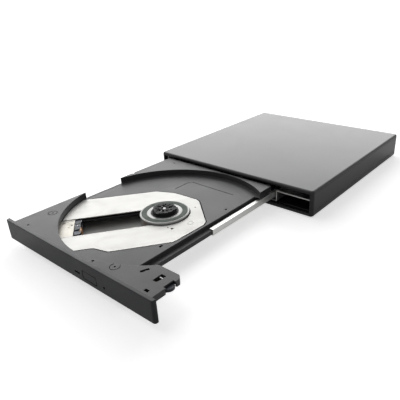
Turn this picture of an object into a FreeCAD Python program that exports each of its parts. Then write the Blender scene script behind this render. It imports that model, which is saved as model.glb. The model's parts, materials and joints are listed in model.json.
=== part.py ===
import FreeCAD
import Part
import math
import os
from FreeCAD import Vector

# Millimetres, X to the right, Y to the back, Z up, with the tray all the way out.
# Heights are drawn from 1.3 above the table, and the finished parts are raised to stand on z = 0.
TABLE_Z = -1.3

# Enclosure
HALF_WIDTH = 67.5
FRONT_Y = -5.0
BACK_TOP_Y = 135.0
BACK_LOW_Y = 134.6
SHELL_BOTTOM_Z = -0.8
SHELL_TOP_Z = 17.2
CORNER_R = 2.2
EDGE_R = 1.5
FLOOR_TOP_Z = 0.7
SILL_Z = 1.7
LID_UNDER_Z = 15.5
LID_LIP_Z = 15.05
PARTING_Z = 3.3
PARTING_GAP = 0.1
CAVITY_HALF = 65.3
MOUTH_HALF = 65.2
CAVITY_BACK_Y = 133.2
LIP_BACK_Y = -3.2
FOOT_X = 56.0
FOOT_YS = (1.5, 118.0)
FOOT_R = 4.0
FOOT_TOP_Z = -0.3
CASE_SCREW_X = 60.5
CASE_SCREW_Y = 129.4
CASE_SCREW_SEAT_Z = 2.3
CASE_SCREW_TIP_Z = 9.5
LOCATING_WALL_X = 64.3
LOCATING_LIP_X = 64.95
LOCATING_WALL_Y = (4.0, 126.0)
LOCATING_LIP_Z = 4.8
REST_XS = (-48.0, 0.0, 48.0)
REST_Y = (12.0, 108.0)
SOCKET_X = 16.0
SOCKET_OPENING_HALF = 4.1
SOCKET_OPENING_Z = (5.5, 9.8)

# Drive chassis
SHEET = 0.5
CHASSIS_HALF = 64.0
CHASSIS_FRONT_Y = -2.4
CHASSIS_BACK_Y = 124.6
PAN_LOW_Z = 2.3
PAN_WALL_TOP_Z = 14.6
STEP_X = 38.5
RAISED_TOP_Z = 10.0
COVER_Z = 14.65
COVER_TOP_Z = 15.0
RAIL_Z0 = 4.9
RAIL_Z1 = 8.8
RAIL_SHEET = 0.45
RAIL_Y0 = -65.2
RAIL_LENGTH = 118.0
LEFT_RAIL_X0 = -61.6
LEFT_RAIL_X1 = -59.0
RIGHT_RAIL_X0 = 34.7
RIGHT_RAIL_X1 = 37.3
GUIDE_LENGTH = 118.0
GUIDE_TOP_Z = 9.7
LEFT_WEB_X = (-63.4, -61.8)
LEFT_LIP_X = (-63.4, -60.2)
CHASSIS_SCREWS = ((-62.0, -0.4), (-61.6, 121.8), (62.0, 30.0), (61.6, 121.8))
LUG_PLANS = (
    (-63.6, -60.5, CHASSIS_FRONT_Y, 1.6), (-63.6, -59.5, 119.5, 124.2),
    (60.5, 63.6, 28.0, 32.0), (59.5, 63.6, 119.5, 124.2))
STANDS = ((60.5, 112.0), (60.5, 121.8), (43.8, 112.0))
BACK_WINDOW_X = (46.0, 57.0)
SIDE_HOLE_YS = (12.0, 100.0)
RIGHT_WALL_FRONT_Y = 1.2

# Boards and connectors; a plan is a rectangle, from X, to X, from Y, to Y
BOSS_XS = (-14.0, 50.0)
BOSS_Y = 129.0
BOSS_R = 1.8
BOSS_PIP_R = 0.7
BRIDGE_PLAN = (-20.0, 57.0, 125.2, 132.8)
BRIDGE_CHIP_PLANS = (((-6.0, 1.0, 125.6, 132.4), 1.1), ((6.0, 11.0, 126.4, 130.4), 1.3))
BRIDGE_PART_XS = (13.5, 16.0, 18.5, 31.0, 33.5)
CRYSTAL_PLAN = (24.0, 28.0, 127.0, 130.2)
INSULATOR_BACK_PLAN = (SOCKET_X - 2.8, SOCKET_X + 2.8, 125.8, 128.6)
INSULATOR_TONGUE_PLAN = (SOCKET_X - 2.3, SOCKET_X + 2.3, 128.4, 133.7)
PLUG_PLAN = (47.0, 56.0, 125.4, 130.6)
PLUG_TONGUE_PLAN = (48.2, 55.2, 121.2, 125.5)
DRIVE_BOARD_PLAN = (42.0, 62.5, 110.0, 123.6)
DRIVE_CHIP_PLANS = (((54.0, 60.0, 111.0, 116.4), 1.0), ((46.0, 50.0, 111.4, 114.4), 0.8))
RECEPTACLE_PLAN = (46.4, 56.8, 118.0, 124.9)
TRAY_BOARD_PLAN = (-51.5, 15.5, -45.0, -9.6)
TRAY_CHIP_PLANS = (
    ((-30.0, -18.0, -36.0, -24.0), 1.1), ((-10.0, -2.0, -34.0, -27.0), 1.0),
    ((-44.0, -38.0, -20.0, -14.0), 1.0), ((6.0, 15.2, -13.8, -9.8), 1.0))
FRONT_BOARD_PLAN = (1.5, 24.0, -129.3, -120.6)
SWITCH_PLAN = (14.2, 20.0, -128.2, -124.4)
LAMP_PLAN = (5.9, 7.5, -130.2, -128.4)
FLAT_CABLE_X = (6.0, 18.0)
FLAT_CABLE_TAIL_Y = (119.2, 122.8)
BRIDGE_Z0 = 9.6
BRIDGE_Z1 = 10.4
SOCKET_Z0 = 5.7
SOCKET_Z1 = 9.6
SOCKET_FRONT_Y = 125.4
SOCKET_BACK_Y = 134.4
DRIVE_BOARD_Z0 = 11.2
DRIVE_BOARD_Z1 = 11.8
TRAY_BOARD_Z0 = 4.3
TRAY_BOARD_Z1 = 4.9
FRONT_BOARD_Z0 = 4.1
FRONT_BOARD_Z1 = 4.5
FILM = 0.1

# Tray
TRAVEL = 130.0
DISC_X = 2.2
DISC_Y = -69.2
TRAY_TOP_Z = 14.4
TRAY_LOW_Z = 3.5
FLOOR_Z = 10.5
FLOOR_UNDER_Z = 9.3
RECESS_R = 61.6
TRAY_X0 = -57.8
TRAY_X1 = 33.0
TRAY_Y0 = -132.8
TRAY_Y1 = -6.4
TRAY_WALL = 1.4
RUNNER_Y = (-128.0, -8.0)
LEFT_RUNNER_X = (-60.9, -57.7)
RING_MARKS = ((-50.9, -44.2), (26.6, -58.1))
WING_LOW_Z = 11.0
WING_ROOF_Z = 13.4
RUNNER_Z0 = 5.55
RUNNER_Z1 = 8.15
BEZEL_FRONT_Y = -135.0
BEZEL_Z0 = 2.0
BEZEL_Z1 = 14.8
BUTTON = (11.2, 23.0, 4.6, 9.7)
BUTTON_X = 17.1
BUTTON_GAP = 0.45

# Traverse, in its own s (outward) and t (across) directions from the disc's middle
SLED_ANGLE = math.radians(232.4)
S_X = math.cos(SLED_ANGLE)
S_Y = math.sin(SLED_ANGLE)
PLATE_Z0 = 10.05
PLATE_Z1 = 10.55
FRAME_Z0 = 7.7
FRAME_Z1 = 8.7
ROD_R = 1.0
ROD_Z = 5.9
MAIN_ROD_T = -18.0
SUB_ROD_T = 18.0
SCREW_T = -23.5
SCREW_Z = 5.6
SCREW_PITCH = 3.0
LENS_S = 51.5
ROTOR_R = 15.1
ROTOR_Z0 = 5.8
ROTOR_Z1 = 11.8
HUB_R = 7.35
SLOT_T0 = -8.8
SLOT_T1 = 12.65
DAMPERS = ((20.0, 38.5), (-26.0, 4.0), (30.0, -38.0))
BOTTOM_PLATE_Z0 = 3.1
CLIPS = ((-49.1, -61.1), (13.5, -61.3))
LIGHT_X0 = 4.5
LIGHT_X1 = 8.9
LIGHT_Z0 = 5.9
LIGHT_Z1 = 7.1
PINHOLE_X = 28.7
PINHOLE_Z = 6.3
PINHOLE_R = 0.75
CLAW_ANGLES = (38.0, 158.0, 278.0)
CLAW_HALF = 1.3
CLAW_FLOOR_Z = 12.4
HUB_WALL_TOP_Z = 13.35
PLATE_SCREWS = (
    (-54.0, -128.0), (28.5, -128.0), (28.5, -45.0), (28.5, -12.0), (-54.0, -60.0), (-54.0, -12.0))

COVER_DOTS = ((17.2, -10.9, 0.9), (14.1, -11.2, 0.5), (9.5, 16.9, 0.5))
STATOR_FEET = ((-18.5, 10.0, 1.5), (-18.5, -10.0, 1.5), (0.0, -20.6, 1.4))
COVER_PILLARS = ((50, 21), (20, 26), (-17.6, 14), (-4, -24.5), (40, -27), (56, -14))
MAIN_ROD_ENDS = (12.8, 69.2)
SUB_ROD_ENDS = (12.8, 62.0)
PICKUP_FLEX_T = (1.6, 7.4)
PICKUP_FLEX_S = (26.0, 49.0)
SLED_LOW_Z = 4.6
SLED_TOP_Z = 7.4
PICKUP_COVER_Z = 9.95

# Latch, around its pivot
PIVOT = (DISC_X + 50.5, DISC_Y - 59.5)
NOSE = (DISC_X + 56.8, DISC_Y - 52.0)
NOSE_R = 3.2

# Ejector pin
PIN_X = 20.0
PIN_Z = 6.5


def box(x0, x1, y0, y1, z0, z1):
    return Part.makeBox(x1 - x0, y1 - y0, z1 - z0, Vector(x0, y0, z0))


def post(x, y, z0, z1, r):
    return Part.makeCylinder(r, z1 - z0, Vector(x, y, z0))


def ring(x, y, z0, z1, outer, inner):
    return post(x, y, z0, z1, outer).cut(post(x, y, z0 - 1.0, z1 + 1.0, inner))


def bar_y(x, z, y0, y1, r):
    return Part.makeCylinder(r, y1 - y0, Vector(x, y0, z), Vector(0, 1, 0))


def bar_x(y, z, x0, x1, r):
    return Part.makeCylinder(r, x1 - x0, Vector(x0, y, z), Vector(1, 0, 0))


def joined(shapes):
    whole = shapes[0].fuse(shapes[1:]) if len(shapes) > 1 else shapes[0]
    return whole.removeSplitter()


def without(shape, tools):
    return shape.cut(tools).removeSplitter()


def outline(corners):
    count = len(corners)
    starts = []
    ends = []
    edges = []
    for i in range(count):
        x, y, r = corners[i]
        here = Vector(x, y, 0)
        before = Vector(corners[i - 1][0], corners[i - 1][1], 0)
        after = Vector(corners[(i + 1) % count][0], corners[(i + 1) % count][1], 0)
        if r <= 0:
            starts.append(here)
            ends.append(here)
            continue
        u = (before - here).normalize()
        v = (after - here).normalize()
        half = u.getAngle(v) / 2
        reach = r / math.tan(half)
        first = here + u * reach
        last = here + v * reach
        inward = (u + v).normalize()
        middle = here + inward * (r / math.sin(half) - r)
        edges.append(Part.Arc(first, middle, last).toShape())
        starts.append(first)
        ends.append(last)
    for i in range(count):
        a = ends[i]
        b = starts[(i + 1) % count]
        if (a - b).Length > 1e-6:
            edges.append(Part.makeLine(a, b))
    return Part.Face(Part.Wire(Part.__sortEdges__(edges)))


def raised(face, z0, z1):
    copy = face.copy()
    copy.translate(Vector(0, 0, z0))
    return copy.extrude(Vector(0, 0, z1 - z0))


def prism(corners, z0, z1):
    return raised(outline(corners), z0, z1)


def rounded_box(x0, x1, y0, y1, z0, z1, r):
    return prism([(x0, y0, r), (x1, y0, r), (x1, y1, r), (x0, y1, r)], z0, z1)


def disc_corners(corners):
    return [(DISC_X + x, DISC_Y + y, r) for x, y, r in corners]


def disc_box(x0, x1, y0, y1, z0, z1):
    return box(DISC_X + x0, DISC_X + x1, DISC_Y + y0, DISC_Y + y1, z0, z1)


def sled_xy(s, t):
    return DISC_X + s * S_X - t * S_Y, DISC_Y + s * S_Y + t * S_X


def sled_corners(corners):
    return [sled_xy(s, t) + (r,) for s, t, r in corners]


def sled_box(s0, s1, t0, t1, z0, z1):
    return prism(sled_corners([(s0, t0, 0), (s1, t0, 0), (s1, t1, 0), (s0, t1, 0)]), z0, z1)


def sled_post(s, t, z0, z1, r):
    x, y = sled_xy(s, t)
    return post(x, y, z0, z1, r)


def sled_bar(s0, s1, t, z, r):
    x, y = sled_xy(s0, t)
    return Part.makeCylinder(r, s1 - s0, Vector(x, y, z), Vector(S_X, S_Y, 0))


def coil(radius, wire_r, length, pitch):
    path = Part.makeHelix(pitch, length, radius)
    section = Part.Wire(Part.makeCircle(wire_r, Vector(radius, 0, 0), Vector(0, 1, 0)))
    return Part.Wire(path.Edges).makePipeShell([section], True, True)


def softened(shape, size, keep):
    edges = [edge for edge in shape.Edges if keep(edge)]
    return shape.makeFillet(size, edges)


def flat_at(edge, z):
    return all(abs(v.Point.z - z) < 0.01 for v in edge.Vertexes)


def upright(edge):
    ends = edge.Vertexes
    return len(ends) == 2 and abs(ends[0].Point.z - ends[1].Point.z) > 5.0


def reaches_front(edge):
    return min(v.Point.y for v in edge.Vertexes) < BEZEL_FRONT_Y + 1.6


def back_edge(z):
    share = (z - SHELL_BOTTOM_Z) / (SHELL_TOP_Z - SHELL_BOTTOM_Z)
    return BACK_LOW_Y + share * (BACK_TOP_Y - BACK_LOW_Y)


def enclosure_block():
    block = Part.makeWedge(
        -HALF_WIDTH, SHELL_BOTTOM_Z, -BACK_LOW_Y, -BACK_TOP_Y, -HALF_WIDTH,
        HALF_WIDTH, SHELL_TOP_Z, -FRONT_Y, -FRONT_Y, HALF_WIDTH)
    block.rotate(Vector(0, 0, 0), Vector(1, 0, 0), 90)
    block = softened(block, CORNER_R, upright)
    return softened(block, EDGE_R, lambda edge: flat_at(edge, SHELL_TOP_Z) or flat_at(edge, SHELL_BOTTOM_Z))


def side_groove(z0, z1, depth):
    middle = (z0 + z1) / 2
    inner_half = HALF_WIDTH - depth
    inner_back = back_edge(middle) - depth
    keep = rounded_box(-inner_half, inner_half, FRONT_Y - 5.0, inner_back, z0 - 1, z1 + 1, 1.3)
    return box(-80, 80, FRONT_Y - 3.0, 140, z0, z1).cut(keep)


def cavity():
    room = box(-CAVITY_HALF, CAVITY_HALF, LIP_BACK_Y, CAVITY_BACK_Y, FLOOR_TOP_Z, LID_UNDER_Z)
    mouth = box(-MOUTH_HALF, MOUTH_HALF, FRONT_Y - 1.0, LIP_BACK_Y + 0.1, SILL_Z, LID_LIP_Z)
    return room.fuse(mouth)


def top_shell():
    block = enclosure_block().common(box(-80, 80, -10, 140, PARTING_Z + PARTING_GAP, 20))
    boss_r = 2.5
    bore_r = 0.96
    groove_z = 15.3
    bosses = [post(side * CASE_SCREW_X, CASE_SCREW_Y, 4.0, LID_UNDER_Z, boss_r) for side in (-1, 1)]
    shell = block.cut(cavity())
    shell = joined([shell] + bosses)
    cuts = [post(side * CASE_SCREW_X, CASE_SCREW_Y, 3.0, CASE_SCREW_TIP_Z + 0.5, bore_r) for side in (-1, 1)]
    left = SOCKET_X - SOCKET_OPENING_HALF
    right = SOCKET_X + SOCKET_OPENING_HALF
    cuts.append(box(left, right, CAVITY_BACK_Y - 0.5, BACK_TOP_Y + 2, *SOCKET_OPENING_Z))
    cuts.append(side_groove(groove_z, groove_z + 0.25, 0.35))
    return without(shell, cuts)


def bottom_shell():
    block = enclosure_block().common(box(-80, 80, -10, 140, TABLE_Z, PARTING_Z))
    shell = block.cut(cavity())
    root_z = FLOOR_TOP_Z - 0.2
    additions = []
    for side in (-1, 1):
        inner = side * LOCATING_WALL_X
        outer = side * (CAVITY_HALF + 0.2)
        lip = side * LOCATING_LIP_X
        additions.append(box(min(inner, outer), max(inner, outer), *LOCATING_WALL_Y, root_z, PARTING_Z))
        additions.append(box(min(inner, lip), max(inner, lip), *LOCATING_WALL_Y, root_z, LOCATING_LIP_Z))
        additions.append(post(side * CASE_SCREW_X, CASE_SCREW_Y, root_z, 3.9, 2.6))
    for x in REST_XS:
        additions.append(box(x - 2, x + 2, *REST_Y, root_z, PAN_LOW_Z))
    additions.append(box(STEP_X + 2.0, CHASSIS_HALF, -1.8, -1.0, root_z, PAN_LOW_Z))
    for x in BOSS_XS:
        additions.append(post(x, BOSS_Y, root_z, BRIDGE_Z0, BOSS_R))
        additions.append(post(x, BOSS_Y, BRIDGE_Z0, BRIDGE_Z1 + 0.5, BOSS_PIP_R))
    shell = joined([shell] + additions)
    cuts = []
    for side in (-1, 1):
        for y in FOOT_YS:
            cuts.append(post(side * FOOT_X, y, TABLE_Z, FOOT_TOP_Z, FOOT_R + 0.1))
        cuts.append(post(side * CASE_SCREW_X, CASE_SCREW_Y, TABLE_Z, CASE_SCREW_SEAT_Z, 1.95))
        cuts.append(post(side * CASE_SCREW_X, CASE_SCREW_Y, TABLE_Z, 5.0, 1.05))
    cuts.append(side_groove(PARTING_Z - 0.2, PARTING_Z + 0.2, 0.25))
    return without(shell, cuts)


def rubber_feet():
    feet = []
    for side in (-1, 1):
        for y in FOOT_YS:
            foot = post(side * FOOT_X, y, TABLE_Z, FOOT_TOP_Z, FOOT_R)
            feet.append(softened(foot, 0.3, lambda edge: flat_at(edge, TABLE_Z)))
    return Part.makeCompound(feet)


def screw_up(x, y, head_r, head_z0, head_z1, shaft_r, tip_z):
    head = post(x, y, head_z0, head_z1, head_r)
    slot = [box(x - head_r * 0.6, x + head_r * 0.6, y - 0.15, y + 0.15, head_z0 - 1, head_z0 + 0.3)]
    slot.append(box(x - 0.15, x + 0.15, y - head_r * 0.6, y + head_r * 0.6, head_z0 - 1, head_z0 + 0.3))
    shaft = post(x, y, head_z1, tip_z, shaft_r)
    return without(joined([head, shaft]), slot)


def case_screws():
    head_r = 1.85
    shaft_r = 0.95
    low_z = CASE_SCREW_SEAT_Z - 1.4
    seat_z = CASE_SCREW_SEAT_Z
    left = screw_up(-CASE_SCREW_X, CASE_SCREW_Y, head_r, low_z, seat_z, shaft_r, CASE_SCREW_TIP_Z)
    right = screw_up(CASE_SCREW_X, CASE_SCREW_Y, head_r, low_z, seat_z, shaft_r, CASE_SCREW_TIP_Z)
    return Part.makeCompound([left, right])


def bridge_board():
    board = box(*BRIDGE_PLAN, BRIDGE_Z0, BRIDGE_Z1)
    return without(board, [post(x, BOSS_Y, BRIDGE_Z0 - 1, BRIDGE_Z1 + 1, BOSS_PIP_R + 0.05) for x in BOSS_XS])


def bridge_chips():
    chips = [box(*plan, BRIDGE_Z1, BRIDGE_Z1 + height) for plan, height in BRIDGE_CHIP_PLANS]
    chips.append(rounded_box(*CRYSTAL_PLAN, BRIDGE_Z1, BRIDGE_Z1 + 1.6, 0.8))
    for x in BRIDGE_PART_XS:
        chips.append(box(x, x + 1.6, BOSS_Y - 1.0, BOSS_Y - 0.2, BRIDGE_Z1, BRIDGE_Z1 + 0.6))
    return Part.makeCompound(chips)


def socket_profile(inset, y0, y1):
    half = 3.85 - inset
    low = 3.25 - inset
    z0 = SOCKET_Z0 + inset
    z1 = SOCKET_Z1 - inset
    bend = 7.6
    points = [(-half, z1), (half, z1), (half, bend), (low, bend - 0.8), (low, z0), (-low, z0),
              (-low, bend - 0.8), (-half, bend), (-half, z1)]
    wire = Part.makePolygon([Vector(SOCKET_X + x, y0, z) for x, z in points])
    return Part.Face(wire).extrude(Vector(0, y1 - y0, 0))


def usb_socket():
    hollow = socket_profile(0.3, SOCKET_FRONT_Y + 0.4, SOCKET_BACK_Y + 2)
    return without(socket_profile(0, SOCKET_FRONT_Y, SOCKET_BACK_Y), [hollow])


def usb_socket_insulator():
    back = box(*INSULATOR_BACK_PLAN, SOCKET_Z0 + 0.3, SOCKET_Z1 - 0.3)
    tongue = box(*INSULATOR_TONGUE_PLAN, SOCKET_Z0 + 1.6, SOCKET_Z1 - 1.4)
    return joined([back, tongue])


def drive_connector():
    body = box(*PLUG_PLAN, BRIDGE_Z1, 13.8)
    over_boss = box(49.3, 50.7, 128.2, 129.8, BRIDGE_Z1 - 0.1, BRIDGE_Z1 + 0.8)
    tongue = box(*PLUG_TONGUE_PLAN, 12.35, 12.85)
    return without(joined([body, tongue]), [over_boss])


def drive_pan():
    floor = box(-CHASSIS_HALF, STEP_X + SHEET, CHASSIS_FRONT_Y, CHASSIS_BACK_Y, PAN_LOW_Z, PAN_LOW_Z + SHEET)
    left_inner = -CHASSIS_HALF + SHEET
    left = box(-CHASSIS_HALF, left_inner, CHASSIS_FRONT_Y, CHASSIS_BACK_Y, PAN_LOW_Z, PAN_WALL_TOP_Z)
    step = box(STEP_X, STEP_X + SHEET, CHASSIS_FRONT_Y, CHASSIS_BACK_Y, PAN_LOW_Z, RAISED_TOP_Z)
    shelf_z = RAISED_TOP_Z - SHEET
    shelf = box(STEP_X, CHASSIS_HALF, CHASSIS_FRONT_Y, CHASSIS_BACK_Y, shelf_z, RAISED_TOP_Z)
    right_inner = CHASSIS_HALF - SHEET
    right = box(right_inner, CHASSIS_HALF, RIGHT_WALL_FRONT_Y, CHASSIS_BACK_Y, shelf_z, PAN_WALL_TOP_Z)
    back_y = CHASSIS_BACK_Y - SHEET
    back_low = box(-CHASSIS_HALF, STEP_X + SHEET, back_y, CHASSIS_BACK_Y, PAN_LOW_Z, PAN_WALL_TOP_Z)
    back_high = box(STEP_X, CHASSIS_HALF, back_y, CHASSIS_BACK_Y, shelf_z, PAN_WALL_TOP_Z)
    front = CHASSIS_FRONT_Y
    hem = box(STEP_X, CHASSIS_HALF, front, front + 0.6, shelf_z - 0.1, RAISED_TOP_Z + 0.05)
    flange = box(STEP_X, STEP_X + 0.7, front, front + 0.5, PAN_LOW_Z, RAISED_TOP_Z)
    clip = box(STEP_X, STEP_X + 2.4, front + 0.5, front + 2.3, shelf_z, RAISED_TOP_Z + 0.3)
    top = PAN_WALL_TOP_Z
    lugs = [box(*plan, top - SHEET, top) for plan in LUG_PLANS]
    stands = [post(x, y, RAISED_TOP_Z - 0.2, DRIVE_BOARD_Z0, 1.2) for x, y in STANDS]
    pan = joined([floor, left, step, shelf, right, back_low, back_high, hem, flange, clip] + lugs + stands)
    cuts = [post(x, y, top - 1.2, top + 1, 0.75) for x, y in CHASSIS_SCREWS]
    cuts.append(box(*BACK_WINDOW_X, back_y - 1.0, CHASSIS_BACK_Y + 1, 11.0, top + 1))
    for y in SIDE_HOLE_YS:
        cuts.append(bar_x(y, 5.2, -CHASSIS_HALF - 1, -CHASSIS_HALF + SHEET + 0.3, 0.9))
    return without(pan, cuts)


def drive_cover():
    sheet = box(-CHASSIS_HALF, CHASSIS_HALF, CHASSIS_FRONT_Y, CHASSIS_BACK_Y, COVER_Z, COVER_TOP_Z)
    holes = [post(x, y, COVER_Z - 1, COVER_TOP_Z + 1, 0.8) for x, y in CHASSIS_SCREWS]
    dish = ring(DISC_X, DISC_Y + TRAVEL, COVER_TOP_Z - 0.1, COVER_TOP_Z + 1, 40.0, 38.5)
    return without(sheet, holes + [dish])


def chassis_screws():
    screws = []
    for x, y in CHASSIS_SCREWS:
        head = post(x, y, COVER_TOP_Z, COVER_TOP_Z + 0.4, 1.4)
        shaft = post(x, y, 13.0, COVER_TOP_Z, 0.72)
        screws.append(joined([head, shaft]))
    return Part.makeCompound(screws)


def drive_board():
    return box(*DRIVE_BOARD_PLAN, DRIVE_BOARD_Z0, DRIVE_BOARD_Z1)


def drive_board_chips():
    chips = [box(*plan, DRIVE_BOARD_Z1, DRIVE_BOARD_Z1 + height) for plan, height in DRIVE_CHIP_PLANS]
    for x in (43.2, 51.2):
        chips.append(box(x, x + 1.0, 115, 116.8, DRIVE_BOARD_Z1, DRIVE_BOARD_Z1 + 0.5))
    return Part.makeCompound(chips)


def drive_rear_connector():
    body = box(*RECEPTACLE_PLAN, DRIVE_BOARD_Z1, 14.2)
    tongue_x0, tongue_x1, tongue_y0, tongue_y1 = PLUG_TONGUE_PLAN
    mouth = box(tongue_x0 - 0.2, tongue_x1 + 0.2, tongue_y0 - 0.4, tongue_y1 + 0.5, 12.2, 13.0)
    return without(body, [mouth])


def rail_guide(web_x0, web_x1, lip_x0, lip_x1):
    floor_z = PAN_LOW_Z + SHEET
    web = box(web_x0, web_x1, 0, GUIDE_LENGTH, floor_z, GUIDE_TOP_Z)
    low = box(lip_x0, lip_x1, 0, GUIDE_LENGTH, floor_z, RAIL_Z0 - 0.2)
    high = box(lip_x0, lip_x1, 0, GUIDE_LENGTH, RAIL_Z1 + 0.2, GUIDE_TOP_Z)
    return joined([web, low, high])


def left_rail_guide():
    return rail_guide(*LEFT_WEB_X, *LEFT_LIP_X)


def right_rail_guide():
    return rail_guide(RIGHT_RAIL_X1 + 0.2, STEP_X - 0.1, RIGHT_RAIL_X0 + 1.0, STEP_X - 0.1)


def rail(x0, x1, channel_x0, channel_x1):
    y1 = RAIL_Y0 + RAIL_LENGTH
    block = box(x0, x1, RAIL_Y0, y1, RAIL_Z0, RAIL_Z1)
    channel = box(
        channel_x0, channel_x1, RAIL_Y0 - 1, y1 + 1, RAIL_Z0 + RAIL_SHEET, RAIL_Z1 - RAIL_SHEET)
    return without(block, [channel])


def left_rail():
    return rail(LEFT_RAIL_X0, LEFT_RAIL_X1, LEFT_RAIL_X0 + RAIL_SHEET, LEFT_RAIL_X1 + 1)


def right_rail():
    return rail(RIGHT_RAIL_X0, RIGHT_RAIL_X1, RIGHT_RAIL_X0 - 1, RIGHT_RAIL_X1 - RAIL_SHEET)


def latch_striker():
    plate = box(63.2, 63.5, 1.5, 8.0, 11.0, 13.6)
    tooth = box(61.7, 63.3, 4.2, 6.4, 11.3, 13.3)
    return joined([plate, tooth])


def flex_cable():
    board_z = DRIVE_BOARD_Z1
    low_z = PAN_LOW_Z + SHEET + 0.05
    rise_x = STEP_X - 0.6
    left_x, right_x = FLAT_CABLE_X
    fold_y = -5.7
    back_y = FLAT_CABLE_TAIL_Y[1]
    tray_z = 5.95
    strips = [box(rise_x, 44.6, *FLAT_CABLE_TAIL_Y, board_z, board_z + FILM)]
    strips.append(box(rise_x, rise_x + FILM, *FLAT_CABLE_TAIL_Y, low_z, board_z + FILM))
    strips.append(box(left_x, rise_x + FILM, *FLAT_CABLE_TAIL_Y, low_z, low_z + FILM))
    strips.append(box(left_x, right_x, fold_y, back_y, low_z + 0.05, low_z + 0.05 + FILM))
    strips.append(box(left_x, right_x, fold_y, fold_y + FILM, low_z + 0.05, tray_z + FILM))
    strips.append(box(left_x, right_x, -9.5, fold_y + FILM, tray_z, tray_z + FILM))
    return joined(strips)


def plate_outline(grow):
    face = outline(sled_corners([
        (75, 28.3, 0), (41.5, 29.0, 4), (37.4, 32.2, 4), (33.5, 35.1, 3), (-0.3, 35.0, 1.2),
        (-2.5, 33.9, 1.2), (-20.3, 20.9, 3), (-21.9, 17.4, 2), (-22.9, -10.4, 2), (-21.5, -13.9, 2),
        (-9.6, -27.6, 14), (2.1, -34.2, 5), (41.4, -35.0, 3), (55, -36.0, 0), (75, -30, 0)]))
    return face.makeOffset2D(grow) if grow else face


def traverse_cover():
    plate = raised(plate_outline(0), PLATE_Z0, PLATE_Z1)
    plate = plate.common(post(DISC_X, DISC_Y, PLATE_Z0 - 1, PLATE_Z1 + 1, RECESS_R - 0.45))
    cuts = [post(DISC_X, DISC_Y, PLATE_Z0 - 1, PLATE_Z1 + 1, 15.6)]
    cuts.append(sled_box(2, 75, SLOT_T0, SLOT_T1, PLATE_Z0 - 1, PLATE_Z1 + 1))
    for x, y, r in COVER_DOTS:
        cuts.append(post(DISC_X + x, DISC_Y + y, PLATE_Z0 - 1, PLATE_Z1 + 1, r))
    cuts.append(ring(DISC_X + 21.3, DISC_Y + 0.2, PLATE_Z1 - 0.15, PLATE_Z1 + 1, 1.9, 1.5))
    return without(plate, cuts)


def bracket_groove():
    z0 = FLOOR_Z - 0.45
    z1 = FLOOR_Z + 1
    left = disc_box(-21.05, -20.55, 29.8, 42.6, z0, z1)
    top = disc_box(-19.0, 17.9, 44.25, 44.75, z0, z1)
    bend = ring(DISC_X - 18.75, DISC_Y + 42.45, z0, z1, 2.3, 1.8)
    bend = bend.common(disc_box(-22.0, -18.75, 42.45, 46.0, z0 - 1, z1 + 1))
    return [left, top, bend]


def tray_body():
    body = box(TRAY_X0, TRAY_X1, TRAY_Y0, TRAY_Y1, TRAY_LOW_Z, TRAY_TOP_Z)
    wing = prism(disc_corners([
        (29.0, -63.6, 0), (58.9, -63.6, 0), (58.9, -46.4, 1.5), (56.8, -44.2, 2.0), (43.4, -44.3, 2.0),
        (39.6, -45.4, 1.5), (35.6, -48.9, 0), (29.0, -48.9, 0)]), WING_LOW_Z, TRAY_TOP_Z)
    overhang = disc_box(29.0, 35.0, 50.0, TRAY_Y1 - DISC_Y, 10.4, TRAY_TOP_Z)
    runners = [box(TRAY_X1 - 0.1, RIGHT_RAIL_X1 - RAIL_SHEET - 0.2, *RUNNER_Y, RUNNER_Z0, RUNNER_Z1)]
    runners.append(box(*LEFT_RUNNER_X, *RUNNER_Y, RUNNER_Z0, RUNNER_Z1))
    return joined([body, wing, overhang] + runners)


def tray_hollows():
    room = (TRAY_X0 + TRAY_WALL, TRAY_X1 - TRAY_WALL, TRAY_Y0 + TRAY_WALL, TRAY_Y1 - TRAY_WALL)
    under = rounded_box(*room, TRAY_LOW_Z - 1, FLOOR_UNDER_Z, 1.0)
    window = raised(plate_outline(0.7), FLOOR_UNDER_Z - 0.5, FLOOR_Z + 0.2)
    window = window.common(post(DISC_X, DISC_Y, 5, 15, RECESS_R))
    recess = post(DISC_X, DISC_Y, FLOOR_Z, TRAY_TOP_Z + 1, RECESS_R)
    garage = sled_box(55, 69.8, -9.1, 12.9, FLOOR_UNDER_Z - 0.5, 10.65)
    garage = garage.common(box(*room, 5, 15))
    return [under, window, recess, garage]


def wing_hollows():
    pocket = disc_box(36.8, 58.0, -61.8, -47.6, WING_LOW_Z - 1, WING_ROOF_Z)
    notch_low = disc_box(57.0, 62.0, -55.5, -48.5, WING_LOW_Z - 1, WING_ROOF_Z)
    notch_top = disc_box(57.4, 62.0, -55.3, -49.0, 13.0, TRAY_TOP_Z + 1)
    slot_small = prism(disc_corners([(39.0, -53.5, 0.6), (40.7, -53.8, 0.6), (42.5, -49.4, 0.6),
                                     (40.8, -49.1, 0.6)]), 13.0, TRAY_TOP_Z + 1)
    slot_large = prism(disc_corners([(49.6, -54.8, 0.3), (52.3, -54.5, 0.3), (52.7, -48.7, 0.3),
                                     (49.5, -48.8, 0.3)]), 13.0, TRAY_TOP_Z + 1)
    peep = disc_box(52.0, 54.6, -62.2, -60.6, 12.4, TRAY_TOP_Z + 1)
    return [pocket, notch_low, notch_top, slot_small, slot_large, peep]


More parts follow.
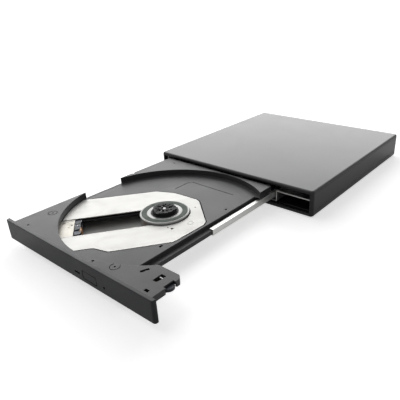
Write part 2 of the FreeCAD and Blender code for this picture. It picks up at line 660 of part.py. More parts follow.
def tray_marks():
    marks = bracket_groove()
    for x, y in RING_MARKS:
        marks.append(ring(DISC_X + x, DISC_Y + y, TRAY_TOP_Z - 0.4, TRAY_TOP_Z + 1, 2.8, 2.35))
        marks.append(post(DISC_X + x, DISC_Y + y, TRAY_TOP_Z - 0.4, TRAY_TOP_Z + 1, 0.6))
    for x, y in CLIPS:
        marks.append(post(DISC_X + x, DISC_Y + y, 13.0, TRAY_TOP_Z + 1, 0.7))
        marks.append(disc_box(x - 1.6, x + 1.6, -64.0, y + 0.9, 11.9, 13.8))
    marks.append(post(DISC_X + 27.0, DISC_Y + 25.7, 9, 11, 0.8))
    marks.append(disc_box(25.3, 26.7, -28.9, -26.7, 9, 11))
    marks.append(disc_box(-62.0, -58.8, 25.0, 27.2, 13.2, TRAY_TOP_Z + 1))
    marks.append(disc_box(-49.8, -48.2, 56.4, 57.4, TRAY_TOP_Z - 0.4, TRAY_TOP_Z + 1))
    marks.append(disc_box(-58.8, -58.4, -14.5, 14.5, FLOOR_Z - 0.3, FLOOR_Z + 1))
    marks.append(box(-60, -57.3, DISC_Y - 14.6, DISC_Y + 14.6, FLOOR_Z, TRAY_TOP_Z + 1))
    return marks


def front_wall_holes():
    x0, x1, z0, z1 = BUTTON
    holes = [box(x0 - 0.8, x1 + 0.8, -134, -131.0, TRAY_LOW_Z - 1, z1 + 0.5)]
    holes.append(box(LIGHT_X0 - 0.2, LIGHT_X1 + 0.2, -134, -131.0, LIGHT_Z0 - 0.2, LIGHT_Z1 + 0.2))
    holes.append(bar_y(PINHOLE_X, PINHOLE_Z, -134, -131.0, PINHOLE_R + 0.2))
    holes.append(box(5.5, 18.5, -9.0, TRAY_Y1 + 1, 5.7, 6.3))
    holes.append(bar_y(PIN_X, PIN_Z, -9.0, TRAY_Y1 + 1, 1.25))
    return holes


def tray_moulding():
    tray = without(tray_body(), tray_hollows())
    posts = [post(x, y, TRAY_LOW_Z, FLOOR_UNDER_Z + 0.2, 2.0) for x, y in PLATE_SCREWS]
    posts.append(box(PIN_X - 2.5, PIN_X + 2.5, -29.5, -28.3, TRAY_LOW_Z, FLOOR_UNDER_Z + 0.2))
    posts.append(bar_y(PIN_X, PIN_Z, -28.4, -20.0, 0.7))
    tray = joined([tray] + posts)
    cuts = wing_hollows() + tray_marks() + front_wall_holes()
    cuts += [post(x, y, TRAY_LOW_Z - 1, 8.2, 0.72) for x, y in PLATE_SCREWS]
    cuts += [sled_post(s, t, 9.0, 10.2, 0.82) for s, t in DAMPERS]
    return without(tray, cuts)


def front_bezel():
    plate = box(-CHASSIS_HALF, CHASSIS_HALF, BEZEL_FRONT_Y, TRAY_Y0, BEZEL_Z0, BEZEL_Z1)
    plate = softened(plate, 1.5, lambda edge: upright(edge) and edge.Vertexes[0].Point.y < -134)
    plate = softened(plate, 0.45, lambda edge: flat_at(edge, BEZEL_Z1) and reaches_front(edge))
    plate = softened(plate, 0.8, lambda edge: flat_at(edge, BEZEL_Z0) and reaches_front(edge))
    clips = []
    for x, y in CLIPS:
        clips.append(disc_box(x - 1.5, x + 1.5, -63.7, y + 0.8, 12.0, 13.7))
    x0, x1, z0, z1 = BUTTON
    opening = rounded_box(x0, x1, z0, z1, 130, 138, 0.9)
    opening.rotate(Vector(0, 0, 0), Vector(1, 0, 0), 90)
    cuts = [opening]
    cuts.append(box(LIGHT_X0, LIGHT_X1, -136, -132, LIGHT_Z0, LIGHT_Z1))
    cuts.append(bar_y(PINHOLE_X, PINHOLE_Z, -136, -132, PINHOLE_R))
    return without(joined([plate] + clips), cuts)


def light_lens():
    gap = 0.05
    window = box(LIGHT_X0 + gap, LIGHT_X1 - gap, -134.2, -132.6, LIGHT_Z0 + gap, LIGHT_Z1 - gap)
    guide = box(LIGHT_X0 + 0.4, LIGHT_X1 - 0.4, -132.6, -130.6, LIGHT_Z0 + 0.2, LIGHT_Z1 - 0.2)
    return joined([window, guide])


def front_board():
    return box(*FRONT_BOARD_PLAN, FRONT_BOARD_Z0, FRONT_BOARD_Z1)


def switch_and_light():
    light = box(*LAMP_PLAN, FRONT_BOARD_Z1, LIGHT_Z1)
    body = box(*SWITCH_PLAN, FRONT_BOARD_Z1, 7.6)
    tip = box(BUTTON_X - 0.9, BUTTON_X + 0.9, -128.5, -128.1, 5.6, 6.6)
    return Part.makeCompound([light, joined([body, tip])])


def eject_button():
    x0, x1, z0, z1 = BUTTON
    gap = BUTTON_GAP
    face = rounded_box(x0 + gap, x1 - gap, z0 + gap, z1 - gap, 132.4, 134.95, 0.7)
    face.rotate(Vector(0, 0, 0), Vector(1, 0, 0), 90)
    flange = box(x0 - 0.5, x1 + 0.5, -132.5, -131.8, z0 + 0.7, z1 + 0.2)
    stem = box(BUTTON_X - 1.3, BUTTON_X + 1.3, -131.9, -129.3, 5.4, 7.1)
    return joined([face, flange, stem])


def tray_bottom_plate():
    plate = box(-57.4, TRAY_X1 - 0.4, -131.9, -6.9, BOTTOM_PLATE_Z0, TRAY_LOW_Z)
    cuts = [post(x, y, 3.0, 4.0, 1.45) for x, y in PLATE_SCREWS]
    cuts.append(box(BUTTON[0] - 1.4, BUTTON[1] + 1.4, -133, -130.8, 3.0, 4.0))
    return without(plate, cuts)


def tray_screws():
    screws = [screw_up(x, y, 1.4, BOTTOM_PLATE_Z0, TRAY_LOW_Z, 0.7, 8.0) for x, y in PLATE_SCREWS]
    return Part.makeCompound(screws)


def tray_board():
    return box(*TRAY_BOARD_PLAN, TRAY_BOARD_Z0, TRAY_BOARD_Z1)


def tray_board_chips():
    chips = [box(*plan, TRAY_BOARD_Z1, TRAY_BOARD_Z1 + height) for plan, height in TRAY_CHIP_PLANS]
    for x in (-47.0, -14.0, 3.0):
        chips.append(box(x, x + 2.0, -42, -40.6, TRAY_BOARD_Z1, TRAY_BOARD_Z1 + 0.6))
    return Part.makeCompound(chips)


def ear(s, t, to_s, to_t):
    reach = math.hypot(to_s - s, to_t - t)
    along = ((to_s - s) / reach, (to_t - t) / reach)
    side = (-along[1] * 3.4, along[0] * 3.4)
    corners = [(s + side[0], t + side[1], 0), (s - side[0], t - side[1], 0),
               (to_s - side[0], to_t - side[1], 0), (to_s + side[0], to_t + side[1], 0)]
    arm = prism(sled_corners(corners), FRAME_Z0, FRAME_Z1)
    return arm.fuse(sled_post(s, t, FRAME_Z0, FRAME_Z1, 3.4))


def traverse_frame():
    deck = prism(sled_corners([
        (69.5, -19.5, 1), (69.5, 8, 1), (62.2, 20.2, 1), (48, 27, 2), (38, 31, 2), (0, 31, 3), (-19, 19, 3),
        (-21, -11, 3), (-9, -26, 6), (2, -31, 4), (50, -31, 3), (62, -24.6, 1)]), FRAME_Z0, FRAME_Z1)
    parts = [deck]
    parts.append(ear(20.0, 38.5, 20.0, 29.0))
    parts.append(ear(-26.0, 4.0, -18.5, 4.0))
    parts.append(ear(30.0, -38.0, 30.0, -29.0))
    for s, t in COVER_PILLARS:
        parts.append(sled_post(s, t, FRAME_Z1 - 0.2, PLATE_Z0, 1.4))
    for t, ends in ((MAIN_ROD_T, MAIN_ROD_ENDS), (SUB_ROD_T, SUB_ROD_ENDS)):
        for s0, s1 in ((ends[0] - 0.2, ends[0] + 1.6), (ends[1] - 1.2, ends[1] + 0.2)):
            parts.append(sled_box(s0, s1, t - 1.7, t + 1.7, ROD_Z - 1.3, FRAME_Z0 + 0.2))
    frame = joined(parts)
    cuts = [post(DISC_X, DISC_Y, 7, 9, ROTOR_R + 1.1)]
    cuts += [post(DISC_X + x, DISC_Y + y, 7, 9, r + 0.6) for x, y, r in COVER_DOTS]
    cuts.append(sled_box(10, 66.4, -9.0, 12.9, 7, 9))
    cuts += [sled_post(s, t, 7, 9, 1.9) for s, t in DAMPERS]
    cuts.append(sled_bar(12, 70, MAIN_ROD_T, ROD_Z, ROD_R))
    cuts.append(sled_bar(12, 63, SUB_ROD_T, ROD_Z, ROD_R))
    return without(frame, cuts)


def damper_bushes():
    bushes = []
    for s, t in DAMPERS:
        low = sled_post(s, t, 6.9, FRAME_Z0, 2.6)
        neck = sled_post(s, t, FRAME_Z0, FRAME_Z1, 1.85)
        high = sled_post(s, t, FRAME_Z1, FLOOR_UNDER_Z, 2.6)
        bushes.append(without(joined([low, neck, high]), [sled_post(s, t, 6, 10, 0.82)]))
    return Part.makeCompound(bushes)


def damper_screws():
    screws = []
    for s, t in DAMPERS:
        x, y = sled_xy(s, t)
        screws.append(screw_up(x, y, 2.0, 6.3, 6.9, 0.8, 10.1))
    return Part.makeCompound(screws)


def guide_rods():
    main = sled_bar(*MAIN_ROD_ENDS, MAIN_ROD_T, ROD_Z, ROD_R)
    sub = sled_bar(*SUB_ROD_ENDS, SUB_ROD_T, ROD_Z, ROD_R)
    return Part.makeCompound([main, sub])


def spindle_stator():
    low_z = 4.4
    base_z = 5.4
    parts = [post(DISC_X, DISC_Y, low_z, base_z, 15.0)]
    for t in (-10.0, 10.0):
        parts.append(sled_box(-20.0, -10.0, t - 1.6, t + 1.6, low_z, base_z))
    parts.append(sled_box(-1.5, 1.5, -22.0, -10.0, low_z, base_z))
    for s, t, r in STATOR_FEET:
        parts.append(sled_post(s, t, low_z, FRAME_Z0, r))
    parts.append(post(DISC_X, DISC_Y, base_z - 0.2, 9.8, 3.0))
    parts.append(ring(DISC_X, DISC_Y, 6.4, 9.6, 6.0, 2.8))
    for i in range(9):
        pole = box(DISC_X + 5.5, DISC_X + 12.4, DISC_Y - 0.8, DISC_Y + 0.8, 7.2, 8.8)
        shoe = box(DISC_X + 12.2, DISC_X + 13.4, DISC_Y - 2.6, DISC_Y + 2.6, 7.0, 9.0)
        winding = box(DISC_X + 7.0, DISC_X + 11.6, DISC_Y - 1.5, DISC_Y + 1.5, 6.5, 9.5)
        for piece in (pole, shoe, winding):
            piece.rotate(Vector(DISC_X, DISC_Y, 0), Vector(0, 0, 1), 40 * i)
            parts.append(piece)
    return without(joined(parts), [post(DISC_X, DISC_Y, 4.7, 12, 1.06)])


def spindle_rotor():
    bell = post(DISC_X, DISC_Y, ROTOR_Z0, ROTOR_Z1, ROTOR_R)
    bell = softened(bell, 0.4, lambda edge: flat_at(edge, ROTOR_Z1))
    lip = ring(DISC_X, DISC_Y, ROTOR_Z1 - 0.1, 12.0, 14.55, 14.1)
    seat = ring(DISC_X, DISC_Y, ROTOR_Z1 - 0.1, 11.95, 10.7, 8.6)
    cuts = [post(DISC_X, DISC_Y, ROTOR_Z0 - 1, 11.0, 14.2), post(DISC_X, DISC_Y, 10, 13, 1.0)]
    return without(joined([bell, lip, seat]), cuts)


def turntable_ring():
    return ring(DISC_X, DISC_Y, ROTOR_Z1, 12.1, 13.9, 10.9)


def turned(shape, degrees):
    shape.rotate(Vector(DISC_X, DISC_Y, 0), Vector(0, 0, 1), degrees)
    return shape


def claw_slot():
    half = CLAW_HALF + 0.3
    pocket = disc_box(2.5, 6.3, -half, half, CLAW_FLOOR_Z, TRAY_TOP_Z + 1)
    mouth = disc_box(6.2, 9.0, -half, half, HUB_WALL_TOP_Z, TRAY_TOP_Z + 1)
    return pocket.fuse(mouth)


def hub():
    flange = post(DISC_X, DISC_Y, ROTOR_Z1, 12.1, 8.4)
    drum = post(DISC_X, DISC_Y, 12.0, 14.25, HUB_R)
    drum = drum.cut(ring(DISC_X, DISC_Y, HUB_WALL_TOP_Z, 15, 9.0, 7.05))
    parts = joined([flange, drum])
    cuts = [post(DISC_X, DISC_Y, 11, 15, 1.0), post(DISC_X, DISC_Y, 13.9, 15, 2.2)]
    for angle in CLAW_ANGLES:
        cuts.append(turned(claw_slot(), angle))
        for extra in (30, 60, 90):
            lobe = post(DISC_X + 7.6, DISC_Y, HUB_WALL_TOP_Z, 15, 1.0)
            cuts.append(turned(lobe, angle + extra))
            dimple = disc_box(3.0, 5.6, -0.55, 0.55, 13.7, 15)
            cuts.append(turned(dimple, angle + extra))
    return without(parts, cuts)


def spindle_shaft():
    shaft = post(DISC_X, DISC_Y, 4.8, 14.0, 1.0)
    pin = Part.makeSphere(1.0, Vector(DISC_X, DISC_Y, 13.4))
    return joined([shaft.common(post(DISC_X, DISC_Y, 4, 13.4, 2)), pin])


def hub_claw(angle):
    body = disc_box(4.3, 6.1, -CLAW_HALF, CLAW_HALF, 12.7, 14.1)
    nose = disc_box(6.0, 7.9, -CLAW_HALF, CLAW_HALF, HUB_WALL_TOP_Z + 0.05, 14.1)
    nose = softened(nose, 0.3, lambda edge: edge.BoundBox.XMin > DISC_X + 7.8 and flat_at(edge, 14.1))
    return turned(joined([body, nose]), angle)


def claw_springs():
    springs = []
    for angle in CLAW_ANGLES:
        spring = coil(0.5, 0.1, 1.5, 0.4)
        spring.rotate(Vector(0, 0, 0), Vector(0, 1, 0), 90)
        spring.translate(Vector(DISC_X + 2.7, DISC_Y, 13.3))
        springs.append(turned(spring, angle))
    return Part.makeCompound(springs)


def feed_motor():
    across = (SCREW_T - 1.5, SCREW_T + 1.5)
    low_z = 3.7
    can = sled_bar(2.3, 12.8, SCREW_T, SCREW_Z, 2.0)
    plate = sled_box(12.7, 13.2, *across, low_z, FRAME_Z0)
    strip = sled_box(12.7, 61.9, *across, low_z, low_z + 0.4)
    far_end = sled_box(60.7, 61.9, *across, low_z, FRAME_Z0)
    cuts = [sled_bar(11.2, 14, SCREW_T, SCREW_Z, 0.56), sled_bar(60, 63, SCREW_T, SCREW_Z, 0.56)]
    return without(joined([can, plate, strip, far_end]), cuts)


def feed_screw():
    ends = sled_bar(11.4, 61.6, SCREW_T, SCREW_Z, 0.5)
    core = sled_bar(13.6, 60.2, SCREW_T, SCREW_Z, 0.68)
    path = Part.makeHelix(SCREW_PITCH, 45.0, 0.66)
    corners = [Vector(0.6, 0, -0.45), Vector(0.9, 0, -0.2), Vector(0.9, 0, 0.2), Vector(0.6, 0, 0.45)]
    section = Part.makePolygon(corners + [corners[0]])
    thread = Part.Wire(path.Edges).makePipeShell([section], True, True)
    thread.rotate(Vector(0, 0, 0), Vector(0, 1, 0), 90)
    thread.rotate(Vector(0, 0, 0), Vector(0, 0, 1), math.degrees(SLED_ANGLE))
    x, y = sled_xy(14.4, SCREW_T)
    thread.translate(Vector(x, y, SCREW_Z))
    return joined([core, ends, thread])


def sled_nut():
    block = sled_box(50.0, 53.2, -25.3, -21.7, 4.4, 7.0)
    arm = sled_box(50.0, 53.2, -21.8, -19.7, 4.9, 6.9)
    return without(joined([block, arm]), [sled_bar(49, 54, SCREW_T, SCREW_Z, 1.05)])


def pickup_sled():
    base = prism(sled_corners([(49.5, -16, 0), (61.5, -16, 0), (61.5, 10, 0), (58, 13, 0), (54.5, 16.1, 0),
                               (49.5, 16.1, 0)]), SLED_LOW_Z, SLED_TOP_Z)
    bearing = sled_box(50.0, 61.5, -19.7, -15.9, SLED_LOW_Z - 0.2, SLED_TOP_Z)
    guide = sled_box(50.5, 54.5, 16.0, 19.7, SLED_LOW_Z - 0.2, SLED_TOP_Z)
    tall = sled_box(53.7, 59.9, -7.8, 11.6, SLED_TOP_Z - 0.1, PICKUP_COVER_Z - 0.05)
    yokes = [sled_box(49.6, 53.0, t0, t1, SLED_TOP_Z - 0.1, 9.8) for t0, t1 in ((-8.2, -5.5), (5.5, 9.4))]
    sled = joined([base, bearing, guide, tall] + yokes)
    cuts = [sled_bar(48, 64, MAIN_ROD_T, ROD_Z, ROD_R + 0.05)]
    cuts.append(sled_bar(48, 64, SUB_ROD_T, ROD_Z, ROD_R + 0.05))
    cuts.append(sled_post(LENS_S, 0, 4, 8, 1.5))
    cuts.append(sled_box(56.0, 60.5, 12.0, 15.0, 4, 8))
    return without(sled, cuts)


def pickup_cover():
    sheet = prism(sled_corners([(53.4, -8.2, 0.5), (63.0, -8.2, 0.5), (63.0, 9.2, 0.5), (60.5, 11.9, 0.5),
                                (53.4, 11.9, 0.5)]), PICKUP_COVER_Z, PICKUP_COVER_Z + 0.3)
    skirts = [sled_box(53.5, 59.8, t, t + 0.2, 8.0, PICKUP_COVER_Z + 0.15) for t in (-8.2, 11.7)]
    cuts = [sled_post(54.8, -1.9, 9, 11, 0.6), sled_post(56.4, 0.4, 9, 11, 0.35)]
    cuts.append(sled_box(54.2, 62.4, -7.0, -6.5, 9, 11))
    cuts.append(sled_box(58.6, 61.0, -5.4, -4.6, 9, 11))
    return without(joined([sheet] + skirts), cuts)


def lens_holder():
    frame = sled_box(49.9, 53.1, -4.8, 4.8, 8.5, 10.1)
    coils = [sled_box(50.4, 52.6, -4.6, -2.6, 10.0, 10.3), sled_box(50.4, 52.6, 2.6, 4.6, 10.0, 10.3)]
    return without(joined([frame] + coils), [sled_post(LENS_S, 0, 8, 11, 1.4)])


def objective_lens():
    x, y = sled_xy(LENS_S, 0)
    barrel = post(x, y, 8.9, 10.1, 1.4)
    dome = Part.makeSphere(2.9, Vector(x, y, 7.55)).common(post(x, y, 10.05, 11, 1.3))
    return joined([barrel, dome])


def pickup_flex():
    low_z = 4.1
    inner_s, outer_s = PICKUP_FLEX_S
    strip = sled_box(outer_s - FILM, outer_s, *PICKUP_FLEX_T, low_z, 9.5)
    run = sled_box(inner_s, outer_s, *PICKUP_FLEX_T, low_z, low_z + FILM)
    return joined([strip, run])


def release_magnet():
    coil_body = disc_box(38.5, 48.5, -57.4, -50.6, 11.2, 13.2)
    yoke = disc_box(37.6, 38.6, -57.8, -50.2, 10.8, 13.3)
    base = disc_box(37.2, 57.6, -61.4, -48.0, 10.6, 10.9)
    foot = disc_box(38.5, 46.0, -57.0, -51.0, 10.8, 11.3)
    cuts = [bar_x(DISC_Y - 54.0, 12.2, DISC_X + 41.0, DISC_X + 50, 0.9)]
    return without(joined([coil_body, yoke, base, foot]), cuts)


def magnet_plunger():
    rod = bar_x(DISC_Y - 54.0, 12.2, DISC_X + 43.0, DISC_X + 50.2, 0.8)
    head = disc_box(50.0, 52.4, -55.0, -53.0, 11.4, 13.0)
    return joined([rod, head])


def latch_pivot():
    pin = post(PIVOT[0], PIVOT[1], 11.25, 13.4, 0.8)
    head = post(PIVOT[0], PIVOT[1], 11.05, 11.3, 1.5)
    return joined([pin, head])


def latch_hook():
    arm = prism(disc_corners([(49.0, -58.6, 0), (53.0, -55.4, 0.5), (53.0, -52.5, 0.3), (54.8, -50.0, 0),
                              (57.8, -54.6, 0), (55.6, -56.6, 0), (51.8, -61.0, 0)]), 11.5, 13.1)
    boss = post(PIVOT[0], PIVOT[1], 11.5, 13.1, 2.0)
    nose = post(NOSE[0], NOSE[1], 11.5, 13.1, NOSE_R)
    tail = disc_box(46.6, 50.0, -60.1, -58.9, 11.5, 13.1)
    return without(joined([arm, boss, nose, tail]), [post(PIVOT[0], PIVOT[1], 11, 14, 0.85)])


def latch_spring():
    spring = coil(0.55, 0.12, 1.1, 0.4)
    spring.rotate(Vector(0, 0, 0), Vector(1, 0, 0), -90)
    spring.translate(Vector(DISC_X + 47.4, DISC_Y - 61.5, 12.3))
    return spring


def ejector_pin():
    rod = bar_y(PIN_X, PIN_Z, -8.6, 3.7, 1.2)
    rod = softened(rod, 0.5, lambda edge: edge.BoundBox.YMin > 3.6)
    flange = bar_y(PIN_X, PIN_Z, -8.9, -8.1, 2.0)
    return joined([rod, flange])


def ejector_spring():
    spring = coil(1.35, 0.18, 18.6, 1.7)
    spring.rotate(Vector(0, 0, 0), Vector(1, 0, 0), -90)
    spring.translate(Vector(PIN_X, -28.0, PIN_Z))
    return spring


NODES = {
    "top_shell": top_shell, "bottom_shell": bottom_shell, "rubber_feet": rubber_feet,
    "case_screws": case_screws, "bridge_board": bridge_board, "bridge_chips": bridge_chips,
    "usb_socket": usb_socket, "usb_socket_insulator": usb_socket_insulator,
    "drive_connector": drive_connector, "drive_pan": drive_pan, "drive_cover": drive_cover,
    "chassis_screws": chassis_screws, "drive_board": drive_board,
    "drive_board_chips": drive_board_chips, "drive_rear_connector": drive_rear_connector,
    "left_rail_guide": left_rail_guide, "right_rail_guide": right_rail_guide,
    "latch_striker": latch_striker, "flex_cable": flex_cable,
    "left_rail": left_rail, "right_rail": right_rail,
    "tray_moulding": tray_moulding, "front_bezel": front_bezel, "light_lens": light_lens,
    "front_board": front_board, "switch_and_light": switch_and_light,
    "traverse_cover": traverse_cover, "tray_bottom_plate": tray_bottom_plate,
    "tray_screws": tray_screws, "tray_board": tray_board, "tray_board_chips": tray_board_chips,
    "traverse_frame": traverse_frame, "damper_bushes": damper_bushes,
    "damper_screws": damper_screws, "guide_rods": guide_rods, "spindle_stator": spindle_stator,
    "feed_motor": feed_motor,
    "release_magnet": release_magnet, "latch_pivot": latch_pivot, "latch_spring": latch_spring,
    "pickup_flex": pickup_flex, "ejector_spring": ejector_spring, "ejector_pin": ejector_pin,
    "spindle_rotor": spindle_rotor, "turntable_ring": turntable_ring, "hub": hub,
    "spindle_shaft": spindle_shaft, "claw_springs": claw_springs,
    "pickup_sled": pickup_sled, "pickup_cover": pickup_cover, "sled_nut": sled_nut,
    "lens_holder": lens_holder, "objective_lens": objective_lens, "feed_screw": feed_screw,
    "eject_button": eject_button, "latch_hook": latch_hook, "magnet_plunger": magnet_plunger,
}


def build():
    os.makedirs("parts", exist_ok=True)
    shapes = {name: make() for name, make in NODES.items()}
    for number, angle in enumerate(CLAW_ANGLES, 1):
        shapes["hub_claw_" + str(number)] = hub_claw(angle)
    for name, shape in shapes.items():
        shape.translate(Vector(0, 0, -TABLE_Z))
        shape.exportStep("parts/" + name + ".step")


build()
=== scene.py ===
import json
import math

import bmesh
import bpy
from mathutils import Matrix, Vector


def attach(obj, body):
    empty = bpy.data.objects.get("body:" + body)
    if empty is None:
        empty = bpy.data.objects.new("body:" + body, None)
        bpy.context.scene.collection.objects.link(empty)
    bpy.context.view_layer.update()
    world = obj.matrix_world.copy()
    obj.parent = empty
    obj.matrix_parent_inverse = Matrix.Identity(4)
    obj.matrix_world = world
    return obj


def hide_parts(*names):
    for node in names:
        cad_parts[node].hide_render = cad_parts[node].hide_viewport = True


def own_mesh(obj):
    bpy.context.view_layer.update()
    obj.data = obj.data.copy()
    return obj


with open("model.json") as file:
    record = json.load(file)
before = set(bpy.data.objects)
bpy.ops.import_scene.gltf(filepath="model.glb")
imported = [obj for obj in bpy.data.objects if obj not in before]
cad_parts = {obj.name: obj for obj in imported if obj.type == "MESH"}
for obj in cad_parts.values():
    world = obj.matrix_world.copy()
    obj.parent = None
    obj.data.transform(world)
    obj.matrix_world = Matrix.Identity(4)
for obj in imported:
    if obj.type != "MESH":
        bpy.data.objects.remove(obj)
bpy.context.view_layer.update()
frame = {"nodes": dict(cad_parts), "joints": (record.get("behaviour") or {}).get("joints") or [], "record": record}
nodes = frame["nodes"]
scene = bpy.context.scene

joints = {joint["name"]: joint for joint in frame["joints"]}

MM = 0.001

# Places that the pieces below are built from, read from the part's own joints
DISC_AXIS = Vector(joints["spindle_spin"]["pos_m"]) * Vector((1.0, 1.0, 0.0))
DISC_CENTRE = DISC_AXIS.xy / MM
SLED_OUT = -Vector(joints["pickup_slide"]["axis"])
SLED_ACROSS = Vector((-SLED_OUT.y, SLED_OUT.x, 0.0))
FRONT_TO_BACK = Vector((0.0, 1.0, 0.0))

# The drawing's zero height, which the heights below count from, is this far above the table
ZERO_HEIGHT = 1.3


def at(x, y, z):
    """The place x, y and z millimetres from the drawing's origin, as metres in the frame."""
    return Vector((x, y, z + ZERO_HEIGHT)) * MM


def sled_point(s, t, z):
    """The place s millimetres out from the disc's centre along the pickup's travel, and t across it."""
    flat = SLED_OUT * s + SLED_ACROSS * t
    return at(DISC_CENTRE.x + flat.x, DISC_CENTRE.y + flat.y, z)


# Camera

def place_camera():
    """The camera stands where the photo's edges say it stood, and centre_px is the column of the
    photo that it points at."""
    azimuth = math.radians(40.503)
    elevation = math.radians(25.757)
    roll = math.radians(-2.494)
    focal_px = 447.756
    frame_px = 400.0
    centre_px = 225.31
    stand = at(187.99, -229.63, 134.89)
    back = Vector((
        math.sin(azimuth) * math.cos(elevation),
        -math.cos(azimuth) * math.cos(elevation),
        math.sin(elevation)))
    level = Vector((math.cos(azimuth), math.sin(azimuth), 0.0))
    upward = back.cross(level)
    right = math.cos(roll) * level + math.sin(roll) * upward
    up = -math.sin(roll) * level + math.cos(roll) * upward
    data = bpy.data.cameras.new("photo_camera")
    data.sensor_width = 36.0
    data.lens = data.sensor_width * focal_px / frame_px
    data.shift_x = (frame_px / 2 - centre_px) / frame_px
    data.clip_start = 0.01
    data.clip_end = 100.0
    camera = bpy.data.objects.new("photo_camera", data)
    scene.collection.objects.link(camera)
    turn = Matrix((right, up, back)).transposed().to_4x4()
    camera.matrix_world = Matrix.Translation(stand) @ turn
    scene.camera = camera


# Node helpers

def add(tree, kind, values=None, **settings):
    node = tree.nodes.new(kind)
    for key, value in settings.items():
        setattr(node, key, value)
    for key, value in (values or {}).items():
        node.inputs[key].default_value = value
    return node


def link(tree, source, target):
    tree.links.new(source, target)


def maths(tree, operation, first, second=None, third=None, clamp=False):
    node = add(tree, "ShaderNodeMath", operation=operation, use_clamp=clamp)
    for slot, value in enumerate((first, second, third)):
        if value is None:
            continue
        if isinstance(value, (int, float)):
            node.inputs[slot].default_value = value
        else:
            link(tree, value, node.inputs[slot])
    return node.outputs[0]


def remap(tree, value, low, high, out_low=0.0, out_high=1.0):
    node = add(tree, "ShaderNodeMapRange", {
        "From Min": low, "From Max": high, "To Min": out_low, "To Max": out_high})
    link(tree, value, node.inputs["Value"])
    return node.outputs["Result"]


def mix_colours(tree, factor, first, second, blend="MIX"):
    node = add(tree, "ShaderNodeMix", data_type="RGBA", blend_type=blend)
    for socket, value in ((node.inputs[0], factor), (node.inputs[6], first), (node.inputs[7], second)):
        if isinstance(value, bpy.types.NodeSocket):
            link(tree, value, socket)
        elif isinstance(value, (int, float)):
            socket.default_value = value
        else:
            socket.default_value = (*value, 1.0)
    return node.outputs[2]


def start_group(name, inputs, outputs):
    group = bpy.data.node_groups.new(name, "ShaderNodeTree")
    for label, kind, value in inputs:
        socket = group.interface.new_socket(label, in_out="INPUT", socket_type="NodeSocket" + kind)
        socket.default_value = value
    for label, kind in outputs:
        group.interface.new_socket(label, in_out="OUTPUT", socket_type="NodeSocket" + kind)
    given = group.nodes.new("NodeGroupInput").outputs
    made = group.nodes.new("NodeGroupOutput").inputs
    return group, given, made


def noise(tree, vector, scale, detail=3.0, roughness=0.55, distortion=0.0):
    node = add(tree, "ShaderNodeTexNoise", {
        "Detail": detail, "Roughness": roughness, "Distortion": distortion})
    link(tree, vector, node.inputs["Vector"])
    if isinstance(scale, (int, float)):
        node.inputs["Scale"].default_value = scale
    else:
        link(tree, scale, node.inputs["Scale"])
    return node.outputs["Fac"]


# Shared effects

def make_mould_grain():
    group, given, made = start_group(
        "mould_grain",
        [("Grain Scale", "Float", 6000.0), ("Mottle Scale", "Float", 60.0)],
        [("Height", "Float"), ("Mottle", "Float")])
    place = add(group, "ShaderNodeTexCoord").outputs["Object"]
    fine = noise(group, place, given["Grain Scale"], detail=2.0, roughness=0.6)
    coarse = noise(group, place, maths(group, "MULTIPLY", given["Grain Scale"], 0.31), detail=1.0)
    height = maths(group, "MULTIPLY_ADD", fine, 0.65, maths(group, "MULTIPLY", coarse, 0.35))
    link(group, remap(group, height, 0.3, 0.7), made["Height"])
    mottle = noise(group, place, given["Mottle Scale"], detail=5.0, roughness=0.62, distortion=0.4)
    link(group, remap(group, mottle, 0.3, 0.7), made["Mottle"])
    return group


def make_rubbed_edges():
    group, given, made = start_group(
        "wear_and_highlight_edges",
        [("Radius", "Float", 0.0003), ("Reach", "Float", 1.0), ("Patch Scale", "Float", 400.0)],
        [("Wear And Highlight", "Float"), ("Normal", "Vector")])
    bevel = add(group, "ShaderNodeBevel", samples=4)
    link(group, given["Radius"], bevel.inputs["Radius"])
    geometry = add(group, "ShaderNodeNewGeometry")
    compare = add(group, "ShaderNodeVectorMath", operation="DOT_PRODUCT")
    link(group, bevel.outputs["Normal"], compare.inputs[0])
    link(group, geometry.outputs["Normal"], compare.inputs[1])
    # Where the bevel's normal turns away from the surface's normal, the colour goes lighter: edge wear, and also a
    # painted highlight along the edges
    turned = remap(group, compare.outputs["Value"], 0.995, 0.86)
    place = add(group, "ShaderNodeTexCoord").outputs["Object"]
    patch = noise(group, place, given["Patch Scale"], detail=4.0, roughness=0.7)
    broken = remap(group, patch, 0.35, 0.62, 0.25, 1.0)
    wear_and_highlight = maths(group, "MULTIPLY", turned, broken)
    link(group, maths(group, "MULTIPLY", wear_and_highlight, given["Reach"], clamp=True), made["Wear And Highlight"])
    link(group, bevel.outputs["Normal"], made["Normal"])
    return group


def make_handling_marks():
    group, given, made = start_group(
        "handling_marks",
        [("Scale", "Float", 30.0), ("Speck Scale", "Float", 900.0)],
        [("Smudge", "Float"), ("Specks", "Float")])
    place = add(group, "ShaderNodeTexCoord").outputs["Object"]
    cloud = noise(group, place, given["Scale"], detail=6.0, roughness=0.55, distortion=1.2)
    link(group, remap(group, cloud, 0.42, 0.68), made["Smudge"])
    cells = add(group, "ShaderNodeTexVoronoi", feature="F1")
    link(group, place, cells.inputs["Vector"])
    link(group, given["Speck Scale"], cells.inputs["Scale"])
    dot = remap(group, cells.outputs["Distance"], 0.11, 0.05)
    rare = noise(group, place, maths(group, "MULTIPLY", given["Speck Scale"], 0.17), detail=1.0)
    kept = remap(group, rare, 0.58, 0.66)
    link(group, maths(group, "MULTIPLY", dot, kept), made["Specks"])
    return group


